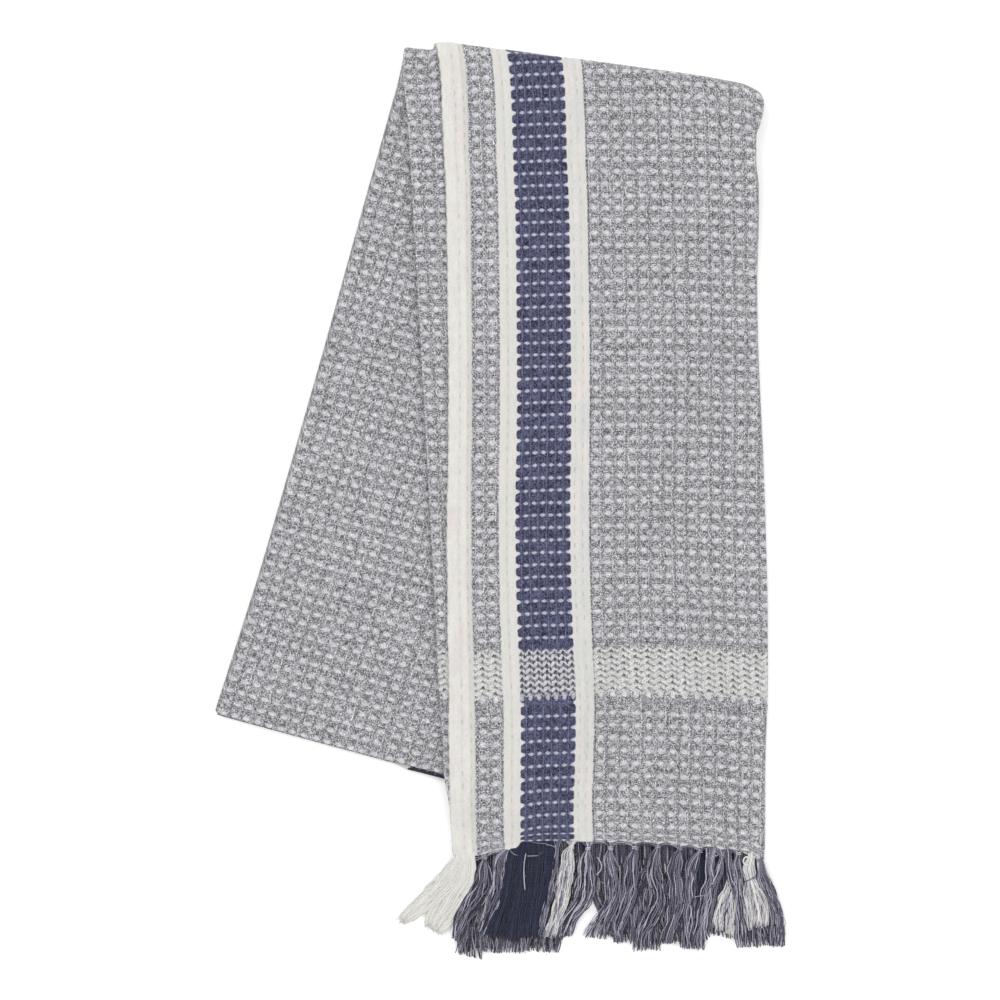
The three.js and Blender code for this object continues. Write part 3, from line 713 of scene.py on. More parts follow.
# ---------------------------------------------------------------------------------------------
# the fringe: yarns gathered into knotted tufts. Plan places are given in the 1000 px frame of the
# camera above (half width in px too), heights in mm.
# ---------------------------------------------------------------------------------------------
def plan(px, py, z):
    """The point at height z that the camera sees at px, py."""
    k = (DISTANCE / MM + 7.0 - z) / (DISTANCE / MM)
    return np.stack([(np.asarray(px, float) - 501) * PX * k, (500 - np.asarray(py, float)) * PX * k,
                     np.asarray(z, float) + 0 * np.asarray(px, float)], -1)


def smooth_path(points, count):
    """An even curve through the points."""
    p = np.asarray(points, float)
    d = np.concatenate([[0], np.cumsum(np.maximum(np.linalg.norm(np.diff(p, axis=0), axis=1), 1e-6))])
    m = np.zeros_like(p)
    m[1:-1] = (p[2:] - p[:-2]) / (d[2:] - d[:-2])[:, None]
    m[0], m[-1] = (p[1] - p[0]) / (d[1] - d[0]), (p[-1] - p[-2]) / (d[-1] - d[-2])
    s = np.linspace(0, d[-1], count)
    i = np.clip(np.searchsorted(d, s, "right") - 1, 0, len(d) - 2)
    h = (d[i + 1] - d[i])[:, None]
    t = ((s - d[i])[:, None]) / h
    return (p[i] * (1 + 2 * t) * (1 - t) ** 2 + m[i] * h * t * (1 - t) ** 2
            + p[i + 1] * t * t * (3 - 2 * t) + m[i + 1] * h * t * t * (t - 1)), s


class Yarns:
    """Gathers round yarns of one colour into one mesh."""

    def __init__(self, name):
        self.name = name
        self.points, self.tris, self.uv, self.count, self.index = [], [], [], 0, 0

    def add(self, path, radius, sides=5, taper=0.75, floor_clear=True, deep=False):
        path = np.array(path, float)
        n = len(path)
        r = np.full(n, radius)
        r[0] *= 0.8
        r[-2] *= 0.5 + 0.5 * taper
        r[-1] *= taper
        if floor_clear:
            path[:, 2] = np.maximum(path[:, 2], r + 0.04)
        tangent = np.gradient(path, axis=0)
        tangent /= np.maximum(np.linalg.norm(tangent, axis=1, keepdims=True), 1e-9)
        normal = np.zeros_like(path)
        v = np.cross(tangent[0], (0, 0, 1.0))
        if np.linalg.norm(v) < 0.2:
            v = np.cross(tangent[0], (1.0, 0, 0))
        for k in range(n):
            v = v - tangent[k] * v.dot(tangent[k])
            v = v / max(np.linalg.norm(v), 1e-9)
            normal[k] = v
        other = np.cross(tangent, normal)
        a = np.arange(sides) * 2 * math.pi / sides + 0.4
        ring = (normal[:, None] * np.cos(a)[None, :, None] + other[:, None] * np.sin(a)[None, :, None])
        pts = path[:, None] + ring * r[:, None, None]
        first = self.count
        self.points.append(pts.reshape(-1, 3))
        self.points.append(path[[0, -1]] + tangent[[0, -1]] * np.array([[-0.1], [0.12]]) * radius)
        length = np.concatenate([[0], np.cumsum(np.linalg.norm(np.diff(path, axis=0), axis=1))])
        if deep:                                            # marks the lower layers, whose yarns get painted shade in the material
            length += 1000
        k, j = np.meshgrid(np.arange(n - 1), np.arange(sides), indexing="ij")
        k, j = k.ravel(), j.ravel()
        jn = (j + 1) % sides
        A, B = first + k * sides + j, first + k * sides + jn
        C, D = first + (k + 1) * sides + jn, first + (k + 1) * sides + j
        ua, ub = self.index + 0.02 + 0.96 * j / sides, self.index + 0.02 + 0.96 * (j + 1) / sides
        va, vb = length[k], length[k + 1]
        self.tris.append(np.stack([A, B, C], 1))
        self.uv.append(np.stack([ua, va, ub, va, ub, vb], 1))
        self.tris.append(np.stack([A, C, D], 1))
        self.uv.append(np.stack([ua, va, ub, vb, ua, vb], 1))
        tip = first + n * sides
        j = np.arange(sides)
        jn = (j + 1) % sides
        mid = np.full(sides, self.index + 0.5)
        ua, ub = self.index + 0.02 + 0.96 * j / sides, self.index + 0.02 + 0.96 * (j + 1) / sides
        v0, v1 = np.full(sides, length[0]), np.full(sides, length[-1])
        self.tris.append(np.stack([first + jn, first + j, np.full(sides, tip)], 1))
        self.uv.append(np.stack([ub, v0, ua, v0, mid, v0 - 0.1], 1))
        base = first + (n - 1) * sides
        self.tris.append(np.stack([base + j, base + jn, np.full(sides, tip + 1)], 1))
        self.uv.append(np.stack([ua, v1, ub, v1, mid, v1 + 0.1], 1))
        self.count += n * sides + 2
        self.index += 1

    def build(self):
        obj = mesh_object(self.name, np.concatenate(self.points), np.concatenate(self.tris),
                          loop_uv=np.concatenate(self.uv).reshape(-1, 2))
        print(self.name, self.index, "yarns,", len(obj.data.polygons), "triangles")
        return obj


slate, pale = Yarns("fringe_slate"), Yarns("fringe_pale")
navy_yarns, cream = Yarns("fringe_navy"), Yarns("fringe_cream")
KINDS = {"slate": (slate, 0.30, 5), "pale": (pale, 0.21, 5), "navy": (navy_yarns, 0.21, 4),
         "cream": (cream, 0.52, 5), "fine_cream": (cream, 0.26, 4)}

# layer, what it is made of, heights at knot / middle / tip, spread of its roots (mm),
# then px, py, half width from the knot to the tip, and how far its end is cut aslant (px)
LOCKS = [
    ("top", {"cream": 50, "fine_cream": 90}, (3.9, 1.9, 0.9), 3.6, 0,
     [(461, 855, 6), (457, 866, 8.5), (447.5, 880, 10), (435, 893, 9.5), (422.5, 904, 8), (411, 913, 6.5), (402.5, 919.5, 5)]),
    ("top", {"cream": 60, "fine_cream": 120}, (3.8, 2.1, 0.9), 3.6, 0,
     [(466, 855, 6), (467, 868, 8.5), (462.5, 882, 11), (454.5, 895, 12.5), (447, 907, 13), (440, 918, 12.5), (433.5, 928.5, 9)]),
    ("top", {"slate": 15, "pale": 10}, (3.9, 3.1, 2.5), 4.6, 2,
     [(484.5, 857, 1.4), (484, 868, 6.5), (484, 880, 9), (479, 893, 9.5), (471, 905, 8.5), (464, 917, 7.5), (458.5, 930, 6), (457, 941, 4)]),
    ("top", {"slate": 10, "pale": 8}, (4.0, 3.2, 2.6), 5.2, 2,
     [(508.6, 848, 1.2), (500, 860, 6), (498, 875, 5.5), (496.5, 890, 6), (491.5, 905, 6), (486, 918, 5), (481, 932, 4.5)]),
    ("top", {"navy": 190}, (3.9, 3.2, 2.6), 4.2, 1,
     [(518.5, 848, 9), (514.5, 862, 10), (512.5, 880, 11.5), (510, 898, 13.5), (505, 915, 16), (501, 930, 18.5), (499.5, 938, 19.5)]),
    ("top", {"navy": 190}, (4.0, 3.2, 2.6), 6.6, -1,
     [(542, 845, 15), (541, 860, 14), (539, 880, 13), (535, 900, 12), (531.5, 918, 10.5), (530, 937, 10)]),
    ("top", {"slate": 7, "pale": 4}, (4.0, 3.3, 2.7), 2.0, 1,
     [(557, 849, 1.4), (556, 862, 3), (553, 878, 3.2), (550, 893, 3.2), (545, 910, 3.5), (542, 923, 3.5), (540, 935, 3)]),
    ("top", {"cream": 1, "fine_cream": 20, "pale": 32, "slate": 5}, (4.0, 3.3, 2.2), 3.6, -2,
     [(571.3, 846, 1.5), (568.2, 853, 5.4), (567.5, 864, 5.8), (565.5, 876, 6.6), (563, 889, 6.8), (559.8, 906, 6.3), (555, 921, 5.4), (550, 936, 4.6)]),
    ("top", {"slate": 14, "pale": 9}, (4.0, 3.1, 1.6), 4.4, -2,
     [(588, 848, 1.4), (586, 858, 6), (586.5, 872, 8), (586, 886, 8.6), (582.5, 900, 8.4), (574, 913, 7.4), (568.5, 924, 6.8), (565, 936, 6)]),
    ("top", {"slate": 13, "pale": 10}, (4.0, 3.0, 1.0), 4.8, -2,
     [(610.5, 848, 1.4), (609, 858, 5.5), (612, 872, 6.8), (613.5, 885, 7), (612, 897, 7), (608.5, 909, 7), (602.5, 920, 7.6), (597, 930, 9.6), (594.5, 937.5, 11.5)]),
    ("top", {"slate": 14, "pale": 9}, (4.0, 3.1, 2.2), 5.0, 0,
     [(634.5, 847, 1.4), (631.5, 860, 6), (631.5, 875, 8), (630, 890, 8.4), (626, 905, 8), (621, 919, 6.6), (618, 931, 5.4), (618.5, 942, 3.8)]),
    ("top", {"slate": 14, "pale": 9}, (4.0, 3.2, 2.6), 5.0, 0,
     [(658, 846, 1.4), (655, 857, 5.6), (653.5, 870, 6.8), (656, 884, 7.6), (658, 896, 8), (655, 909, 8), (649, 921, 8), (644, 933, 7.8), (643, 947, 8)]),
    ("top", {"slate": 13, "pale": 9}, (4.0, 3.2, 2.6), 4.8, 0,
     [(680, 848, 1.4), (676.5, 858, 5.6), (674, 871, 6.6), (675.5, 886, 7), (676, 901, 7), (673, 917, 6.5), (669, 931, 6), (666, 941, 6)]),
    ("top", {"slate": 13, "pale": 8}, (4.0, 3.2, 2.6), 4.4, 0,
     [(700, 851, 1.4), (694, 860, 6), (690.5, 871, 6.4), (690, 885, 6), (690, 900, 6), (688.5, 915, 6), (688, 931, 6.4), (688, 947, 6.6)]),
    ("top", {"slate": 6, "pale": 7}, (4.0, 3.4, 2.7), 3.0, 0,
     [(711, 855, 2.6), (709, 868, 3.8), (709.5, 880, 4), (706.5, 892, 4.4), (703.5, 906, 4.4), (700.5, 920, 4.4), (699.5, 934, 5.2), (698.5, 948, 6)]),
    ("top", {"slate": 7, "pale": 6}, (4.0, 3.2, 2.6), 3.4, 0,
     [(722, 855, 1.6), (720.5, 866, 3), (716.5, 879, 3.4), (713, 893, 4.2), (710, 908, 4.4), (708, 921, 4), (707, 933, 4)]),
    ("top", {"slate": 8, "pale": 6}, (4.0, 3.2, 2.6), 4.4, 0,
     [(738.5, 853, 1.6), (737, 864, 4), (739, 876, 3.8), (738.5, 888, 3.4), (739.5, 905, 4), (741, 925, 5), (742.5, 947, 5.4)]),
    ("top", {"slate": 7, "pale": 4}, (4.0, 3.1, 2.6), 3.0, 0,
     [(729, 854, 1.6), (729.5, 865, 4), (731.5, 876, 4.2), (735, 888, 3), (737.3, 902, 2.4), (738.5, 916, 2.2)]),
    ("top", {"cream": 3, "fine_cream": 27, "pale": 36}, (3.9, 3.1, 2.4), 1.6, 0,
     [(751, 862, 2.5), (748.5, 868, 5.5), (750, 875, 5.6), (750.5, 879.5, 4.4), (752, 890, 8), (755, 903, 10.5), (757, 915, 11), (758, 926, 10)]),
    ("top", {"slate": 15, "pale": 8}, (4.0, 3.0, 1.3), 3.0, 0,
     [(761, 859, 1.5), (763, 872, 4), (768, 887, 5), (773.5, 901, 5.5), (777, 915, 6), (778.5, 930, 6.5), (777.5, 946, 7)]),
    # the tufts of the two layers below
    ("mid", {"slate": 16, "pale": 9}, (2.1, 1.8, 1.75), 2.5, 3,
     [(474, 858, 2), (475, 880, 8), (472, 905, 11), (470, 930, 12), (469, 956, 12.5)]),
    ("mid", {"slate": 14, "pale": 11}, (2.1, 1.8, 1.75), 2.5, 0,
     [(496.5, 856, 2), (497, 880, 8), (495, 905, 10), (493, 930, 10.5), (491.5, 952, 10.5)]),
    ("mid", {"slate": 14, "pale": 11}, (2.1, 1.8, 1.75), 2.5, 0,
     [(519, 854, 2), (518, 880, 8), (516, 905, 10.5), (514, 930, 11), (513, 952, 11)]),
    ("mid", {"slate": 14, "pale": 10}, (2.1, 1.8, 1.75), 2.5, 0,
     [(541.4, 852, 2), (540, 880, 8), (537, 905, 10.5), (535, 930, 11), (534, 951, 11)]),
    ("mid", {"slate": 13, "pale": 7}, (2.1, 1.8, 1.75), 2.5, 0,
     [(564, 852, 2), (562, 880, 8), (558, 908, 8), (554, 932, 7.5), (552, 951.5, 7.5)]),
    ("mid", {"slate": 13, "pale": 4}, (2.1, 1.8, 1.75), 2.5, 0,
     [(604, 853, 6), (602, 872, 9.5), (603.5, 890, 11), (607, 908, 9), (608, 922, 7), (606, 935, 6)]),
    ("mid", {"slate": 13, "pale": 6}, (2.1, 1.8, 1.75), 2.5, 0,
     [(635.7, 853, 2), (629, 880, 10), (628, 905, 10), (628.5, 925, 8.5), (629.5, 941, 7)]),
    ("mid", {"slate": 15, "pale": 8}, (2.1, 1.8, 1.75), 2.5, 0,
     [(658, 854, 2), (649, 878, 10.5), (647, 905, 11), (646.5, 930, 12), (646.5, 950, 13)]),
    ("mid", {"slate": 13, "pale": 5}, (2.1, 1.8, 1.75), 2.5, 0,
     [(680.6, 855, 2), (673, 880, 9), (669, 905, 9), (668.5, 925, 8), (668.5, 943, 7)]),
    ("mid", {"navy": 70, "slate": 4}, (2.1, 2.0, 1.9), 2.5, 0,
     [(701, 857, 3), (701.5, 872, 6), (701, 890, 6.5), (700.5, 905, 6.5), (700, 922, 6)]),
    ("mid", {"slate": 14, "pale": 5}, (2.0, 1.5, 1.5), 2.5, 0,
     [(693, 857, 2), (693, 880, 9), (693, 905, 10), (693, 930, 12), (693, 949, 12)]),
    ("mid", {"cream": 3, "fine_cream": 28, "pale": 30, "slate": 8}, (1.5, 2.2, 2.0), 2.0, 3,
     [(727, 860, 2), (731, 874, 3), (732, 884, 4.5), (728, 898, 8), (725, 915, 11), (723.5, 931, 11.5)]),
    ("mid", {"slate": 13, "pale": 3}, (1.9, 1.4, 1.5), 2.5, 3,
     [(722, 858, 2), (721, 880, 8), (722, 905, 10.5), (724, 925, 11), (724.5, 937, 11.5)]),
    ("mid", {"slate": 14, "pale": 8}, (2.0, 1.8, 1.75), 2.5, 0,
     [(745, 862, 2), (750, 880, 7), (755, 905, 9), (758, 925, 11), (760, 946, 12)]),
]


def hem_point(px, layer, inside=0.9):
    """Where a yarn leaves the woven end of a layer."""
    h = {"top": H_TOP, "mid": H_MID, "low": H_LOW}[layer]
    x = (px - 501) * PX
    x = float(np.clip(x, station(0.5, "left") + 2.0, station(0.5, "right") - 1.6))
    if layer == "top":
        x = max(x, float(station(0.5, "selvedge")) + 0.9)
    if layer == "mid":
        x = min(x, float(station(0.5, "free")) - 1.0)
    return place(x, h, ENDS[layer][0] + inside + (float(arch(x)) if layer == "top" else 0))


def lock(layer, parts, heights, reach, slant, rows, rng):
    rows = np.array(rows, float)
    n = len(rows)
    along = np.linspace(0, 1, n)
    z = np.interp(along, [0, 0.45, 1], heights)
    centre = plan(rows[:, 0], rows[:, 1], z)
    half = rows[:, 2] * PX
    run = np.gradient(centre[:, :2], axis=0)
    run /= np.linalg.norm(run, axis=1, keepdims=True)
    side = np.stack([-run[:, 1], run[:, 0]], 1)
    side = np.where((side[:, :1] < 0), -side, side)          # towards +X
    thick = np.interp(along, [0, 0.15, 0.6, 1], [0.55, 0.75, 0.85, 0.55]) * (1.0 if layer == "top" else 0.55)
    for kind, count in parts.items():
        if kind in ("slate", "pale"):
            count = round(count * (1.25 if kind == "slate" else 1.1))
        yarns, radius, sides = KINDS[kind]
        order = rng.permutation(count)
        for k in range(count):
            s = ((k + rng.uniform(0.1, 0.9)) / count) * 2 - 1
            q = ((order[k] + 0.5) / count) * 2 - 1
            if kind in ("pale", "fine_cream"):
                q = 0.35 + 0.65 * abs(q)                       # the pale yarns lie on top
            q *= math.sqrt(max(1 - 0.8 * s * s, 0.1))
            rad = radius * rng.uniform(0.86, 1.14)
            drift = rng.normal(0, 0.10)
            where = np.clip(s + drift * along + rng.normal(0, 0.05), -1.05, 1.05)
            off = half * where
            pts = centre.copy()
            pts[:, :2] += side * off[:, None]
            pts[:, 2] += thick * q
            # cut: shorter or longer, and aslant
            cut = rng.normal(0, 0.9 if kind == "fine_cream" else 0.30) + slant * PX * s
            pts[-1, :2] += run[-1] * cut
            root = hem_point(501 + (centre[0, 0] + reach * s) / PX, layer)
            root = root + np.array([0, 0, 0.25 * q])
            if layer == "top" and kind in ("cream", "fine_cream") and centre[0, 0] < -10:
                # the left tuft: its yarns run on from the stripe's own, over the cut edge
                reach_in = rng.uniform(1.6, 3.2)
                root = hem_point(501 + (centre[0, 0] + reach * s) / PX, layer, reach_in)
                up = np.array([0, 0, HALF - 0.22 + 0.10 * q])
                edge = hem_point(501 + (centre[0, 0] + reach * s) / PX, layer, 0.0)
                pts = np.concatenate([[root + up - np.array([0, 0, 0.7]), edge + up], pts[1:]])
            elif rows[0, 2] > 2.2:                              # not gathered into a knot
                first = root + (pts[0] - root) * 0.45 + np.array([0, -0.4, 0])
                pts = np.concatenate([[root, first], pts[1:]])
            else:
                pts = np.concatenate([[root], pts])
            segments = 22 if kind == "navy" else 24
            path, dist = smooth_path(pts, segments)
            size = {"navy": 0.22, "cream": 0.28, "fine_cream": 0.55, "pale": 0.65}.get(kind, 0.50)
            grow = ease((dist - 4) / 12)
            f1, f2 = rng.uniform(9, 15), rng.uniform(15, 28)
            p1, p2 = rng.uniform(0, 6.28, 2)
            wave = size * (0.55 * np.sin(dist / f1 * 6.283 + p1) + 0.6 * np.sin(dist / f2 * 6.283 + p2))
            tan = np.gradient(path[:, :2], axis=0)
            tan /= np.maximum(np.linalg.norm(tan, axis=1, keepdims=True), 1e-9)
            path[:, :2] += np.stack([-tan[:, 1], tan[:, 0]], 1) * (wave * grow)[:, None]
            path[:, 2] += 0.16 * grow * np.sin(dist / f1 * 5 + p2)
            yarns.add(path, rad, sides, taper=0.45 if kind in ("navy", "cream") else 0.8, deep=layer != "top" and "cream" not in parts)


def knot(px, py, z, yarns, turns=2.2, size=1.05):
    """A yarn wound round a tuft just under the hem."""
    c = plan(px, py, z)
    t = np.linspace(0, 1, 22)
    a = t * turns * 2 * math.pi + px
    path = np.stack([c[0] + size * np.cos(a), c[1] + 0.7 - 1.5 * t + 0.25 * np.sin(a), c[2] + 0.75 * np.sin(a)], 1)
    yarns.add(path, 0.27, 5)


def stray(points, z, yarns=None, radius=0.24):
    pts = np.array([plan(x, y, z + dz) for x, y, dz in points])
    path, _ = smooth_path(pts, 6 + 4 * len(points))
    (yarns or pale).add(path, radius, 5)


def carpet(rng):
    """The lowest layer's yarns, two groups either side of the gap."""
    outline = np.array([(457, 953), (469, 952), (481, 948), (505, 948), (541, 947), (556, 948), (562, 939), (567, 933),
                        (598, 931), (613, 935), (625, 936), (632, 942), (642, 946), (661, 944), (673, 939), (685, 945),
                        (700, 946), (709, 936), (721, 933), (733, 931), (741, 943), (757, 941), (770, 942), (781, 940)], float)
    groups = [(80, (474, 592), (459, 567), [(0.0, 0.0), (0.35, 0.15), (0.6, 0.45), (1, 1)]),
              (118, (592, 757), (603, 781), [(0.0, 0.0), (0.35, 0.1), (0.6, 0.45), (1, 1)])]
    for count, (a0, a1), (b0, b1), shape in groups:
        for k in range(count):
            s = (k + rng.uniform(0.2, 0.8)) / count
            xa, xb = a0 + (a1 - a0) * s, b0 + (b1 - b0) * s
            yb = np.interp(xb, outline[:, 0], outline[:, 1]) + rng.normal(0, 1.0)
            root = hem_point(xa, "low")
            z = rng.uniform(0.42, 0.85)
            pts = [root]
            for t, m in shape:
                x = xa + (xb - xa) * m
                if a0 > 590 and s < 0.25:                       # the gap's right side leans left first
                    x -= 3 * (0.25 - s) / 0.25 * math.sin(math.pi * min(t * 1.15, 1)) * (1 if t < 0.9 else 0)
                if a0 < 590 and s > 0.85:
                    x += 4 * (s - 0.85) / 0.15 * math.sin(math.pi * min(t * 1.2, 1)) * (1 if t < 0.8 else 0)
                pts.append(plan(x, 862 + (yb - 862) * t, z))
            path, dist = smooth_path(pts, 20)
            f, p = rng.uniform(9, 18), rng.uniform(0, 6.28)
            path[:, 0] += 0.4 * np.sin(dist / f * 6.283 + p) * ease((dist - 3) / 10)
            kind = pale if rng.uniform() < 0.22 else slate
            kind.add(path, 0.36, 5, taper=0.8, deep=True)


fringe_rng = np.random.default_rng(41)
for layer, parts, heights, reach, slant, rows in LOCKS:
    lock(layer, parts, heights, reach, slant, rows, fringe_rng)
carpet(fringe_rng)
for px, py in ((484.5, 857.5), (508.6, 849), (588, 848.5), (610.5, 848.5), (634.5, 848), (658, 847),
               (680, 848.5), (700, 851.5), (722, 855.5), (738.5, 853.5), (761, 859.5)):
    knot(px, py, 3.9, pale)
knot(571.3, 847, 3.9, cream)
# pale edge yarns that bridge from knot to knot under the hem
for j, (ka, kb) in enumerate(zip(KNOTS[:-1], KNOTS[1:])):
    if j == 1:
        continue
    for lift in (0.15, -0.55, -1.3):
        arc = []
        for t in np.linspace(0, 1, 9):
            p = hem_point(ka + (kb - ka) * t, "top", -0.15)
            low_ = 1.9 * (1 - math.sin(math.pi * t) ** 0.55)
            arc.append(p + np.array([0, lift * math.sin(math.pi * t) - low_, -0.25 - 0.2 * abs(lift)]))
        path, _ = smooth_path(np.array(arc), 20)
        (pale if lift > -1 else slate).add(path, 0.24, 5)
# loose yarns on top
stray([(525.9, 853.5, 0.2), (524.4, 862, 0.1), (523.9, 872, 0), (524.2, 881, 0), (525, 890, -0.2)], 4.2, radius=0.30)
stray([(510, 850.5, 0.3), (514.3, 854.3, 0.2), (519.4, 855.6, 0)], 4.3)
stray([(520, 841.2, 0.5), (528, 841, 0.6), (537.5, 843, 0.5), (547.3, 843.6, 0.5)], 4.4)
stray([(546, 844.6, 0.5), (551, 845.4, 0.3), (556, 847.8, 0.1)], 4.3)
stray([(527, 856, 0.2), (533, 855.9, 0.2), (538.6, 855.2, 0.1), (542.4, 851.4, 0.1)], 4.2, radius=0.20)
stray([(486, 853, 0.2), (494, 850.6, 0.6), (502, 848.6, 0.6), (509, 847.6, 0.2)], 4.2)
stray([(474, 858, 0.2), (479, 857.2, 0.4), (485, 856.8, 0.2)], 4.2)
stray([(475, 860.5, 0.0), (480, 858.6, 0.3), (485, 857.6, 0.2)], 4.2)
stray([(597.3, 857, 0.2), (601, 863.5, 0.2), (601, 869.5, 0.1), (596.4, 875, -0.3)], 3.9)
stray([(600.9, 881.8, 0), (604, 883.6, 0.1), (606.6, 887.4, 0)], 3.7, radius=0.18)
stray([(693, 897.6, 0.0), (697.3, 896.4, 0.2), (705, 895.4, 0.0)], 3.8, radius=0.20)
for k, (cx, cy, r) in enumerate(((710, 855.5, 3.0), (713.5, 857, 2.6), (708.5, 859.5, 2.2), (716, 853.8, 2.2))):
    stray([(cx + r * math.cos(a), cy + r * 0.85 * math.sin(a), 0.25 * math.cos(a + k)) for a in np.linspace(k, k + 5.2, 7)],
          4.3, radius=0.22)
for k, (cx, cy, r) in enumerate(((747, 861, 3.6), (750.5, 863, 3.2))):
    stray([(cx + r * math.cos(a), cy + r * 1.15 * math.sin(a), 0.2) for a in np.linspace(0.6 + k, k + 5.9, 8)],
          3.9, yarns=cream, radius=0.42)
stray([(743.0, 882.6, -0.5), (746.5, 881.4, 0.5), (750.2, 879.6, 0.9), (754, 877.6, 0.5), (757.4, 876.2, -0.4)], 3.7,
      yarns=slate, radius=0.2)
fringe_pieces = [y.build() for y in (slate, pale, navy_yarns, cream)]

# ---------------------------------------------------------------------------------------------
# materials
# ---------------------------------------------------------------------------------------------


def linear(c):
    out = []
    for v in c:
        v /= 255
        out.append(v / 12.92 if v <= 0.04045 else ((v + 0.055) / 1.055) ** 2.4)
    return tuple(out) + (1.0,)


class Net:
    """A small helper that builds node maths."""

    def __init__(self, name):
        self.mat = bpy.data.materials.new(name)
        self.mat.use_nodes = True
        self.t = self.mat.node_tree
        self.t.nodes.clear()
        self.out = self.t.nodes.new("ShaderNodeOutputMaterial")
        self.bsdf = self.t.nodes.new("ShaderNodeBsdfPrincipled")
        self.t.links.new(self.bsdf.outputs[0], self.out.inputs[0])

    def link(self, value, socket):
        if isinstance(value, V):
            self.t.links.new(value.s, socket)
        elif isinstance(value, bpy.types.NodeSocket):
            self.t.links.new(value, socket)
        else:
            socket.default_value = value

    def math(self, op, *args, clamp=False):
        n = self.t.nodes.new("ShaderNodeMath")
        n.operation = op
        n.use_clamp = clamp
        for i, a in enumerate(args):
            self.link(a, n.inputs[i])
        return V(self, n.outputs[0])

    def step(self, x, lo, hi):
        n = self.t.nodes.new("ShaderNodeMapRange")
        n.interpolation_type = "SMOOTHSTEP"
        self.link(x, n.inputs[0])
        n.inputs[1].default_value, n.inputs[2].default_value = lo, hi
        return V(self, n.outputs[0])

    def between(self, x, lo, hi, soft):
        return self.step(x, lo - soft, lo + soft) * (1 - self.step(x, hi - soft, hi + soft))

    def bell(self, x, reach):
        """1 at x = 0, falling softly to 0 at reach."""
        n = self.t.nodes.new("ShaderNodeMapRange")
        n.interpolation_type = "SMOOTHSTEP"
        self.link(self.math("ABSOLUTE", x), n.inputs[0])
        n.inputs[1].default_value, n.inputs[2].default_value = 0.0, reach
        n.inputs[3].default_value, n.inputs[4].default_value = 1.0, 0.0
        return V(self, n.outputs[0])

    def cell(self, x, first, pitch):
        r = (x - first) / pitch
        return (r - self.math("ROUND", r)) * pitch

    def xyz(self, x, y, z=0.0):
        n = self.t.nodes.new("ShaderNodeCombineXYZ")
        for i, a in enumerate((x, y, z)):
            self.link(a, n.inputs[i])
        return V(self, n.outputs[0])

    def white(self, x, y, z=0.0):
        n = self.t.nodes.new("ShaderNodeTexWhiteNoise")
        n.noise_dimensions = "3D"
        self.link(self.xyz(x, y, z), n.inputs[0])
        return V(self, n.outputs[0])

    def noise(self, vector, scale, detail=2.0, rough=0.5):
        n = self.t.nodes.new("ShaderNodeTexNoise")
        n.noise_dimensions = "3D"
        self.link(vector, n.inputs["Vector"])
        n.inputs["Scale"].default_value = scale
        n.inputs["Detail"].default_value = detail
        n.inputs["Roughness"].default_value = rough
        return V(self, n.outputs[0])

    def mix(self, f, a, b):
        n = self.t.nodes.new("ShaderNodeMix")
        n.data_type = "RGBA"
        self.link(f, n.inputs[0])
        self.link(a, n.inputs[6])
        self.link(b, n.inputs[7])
        return V(self, n.outputs[2])

    def scale(self, colour, f):
        n = self.t.nodes.new("ShaderNodeVectorMath")
        n.operation = "SCALE"
        self.link(colour if isinstance(colour, V) else tuple(colour[:3]), n.inputs[0])
        self.link(f, n.inputs[3])
        return V(self, n.outputs[0])


class V:
    def __init__(self, net, s):
        self.n, self.s = net, s

    def __add__(self, o): return self.n.math("ADD", self, o)
    def __radd__(self, o): return self.n.math("ADD", o, self)
    def __sub__(self, o): return self.n.math("SUBTRACT", self, o)
    def __rsub__(self, o): return self.n.math("SUBTRACT", o, self)
    def __mul__(self, o): return self.n.math("MULTIPLY", self, o)
    def __rmul__(self, o): return self.n.math("MULTIPLY", o, self)
    def __truediv__(self, o): return self.n.math("DIVIDE", self, o)
    def __neg__(self): return self.n.math("MULTIPLY", self, -1.0)


WARP, WEFT = COLUMN / 8, ROW_HIGH_PITCH / 5


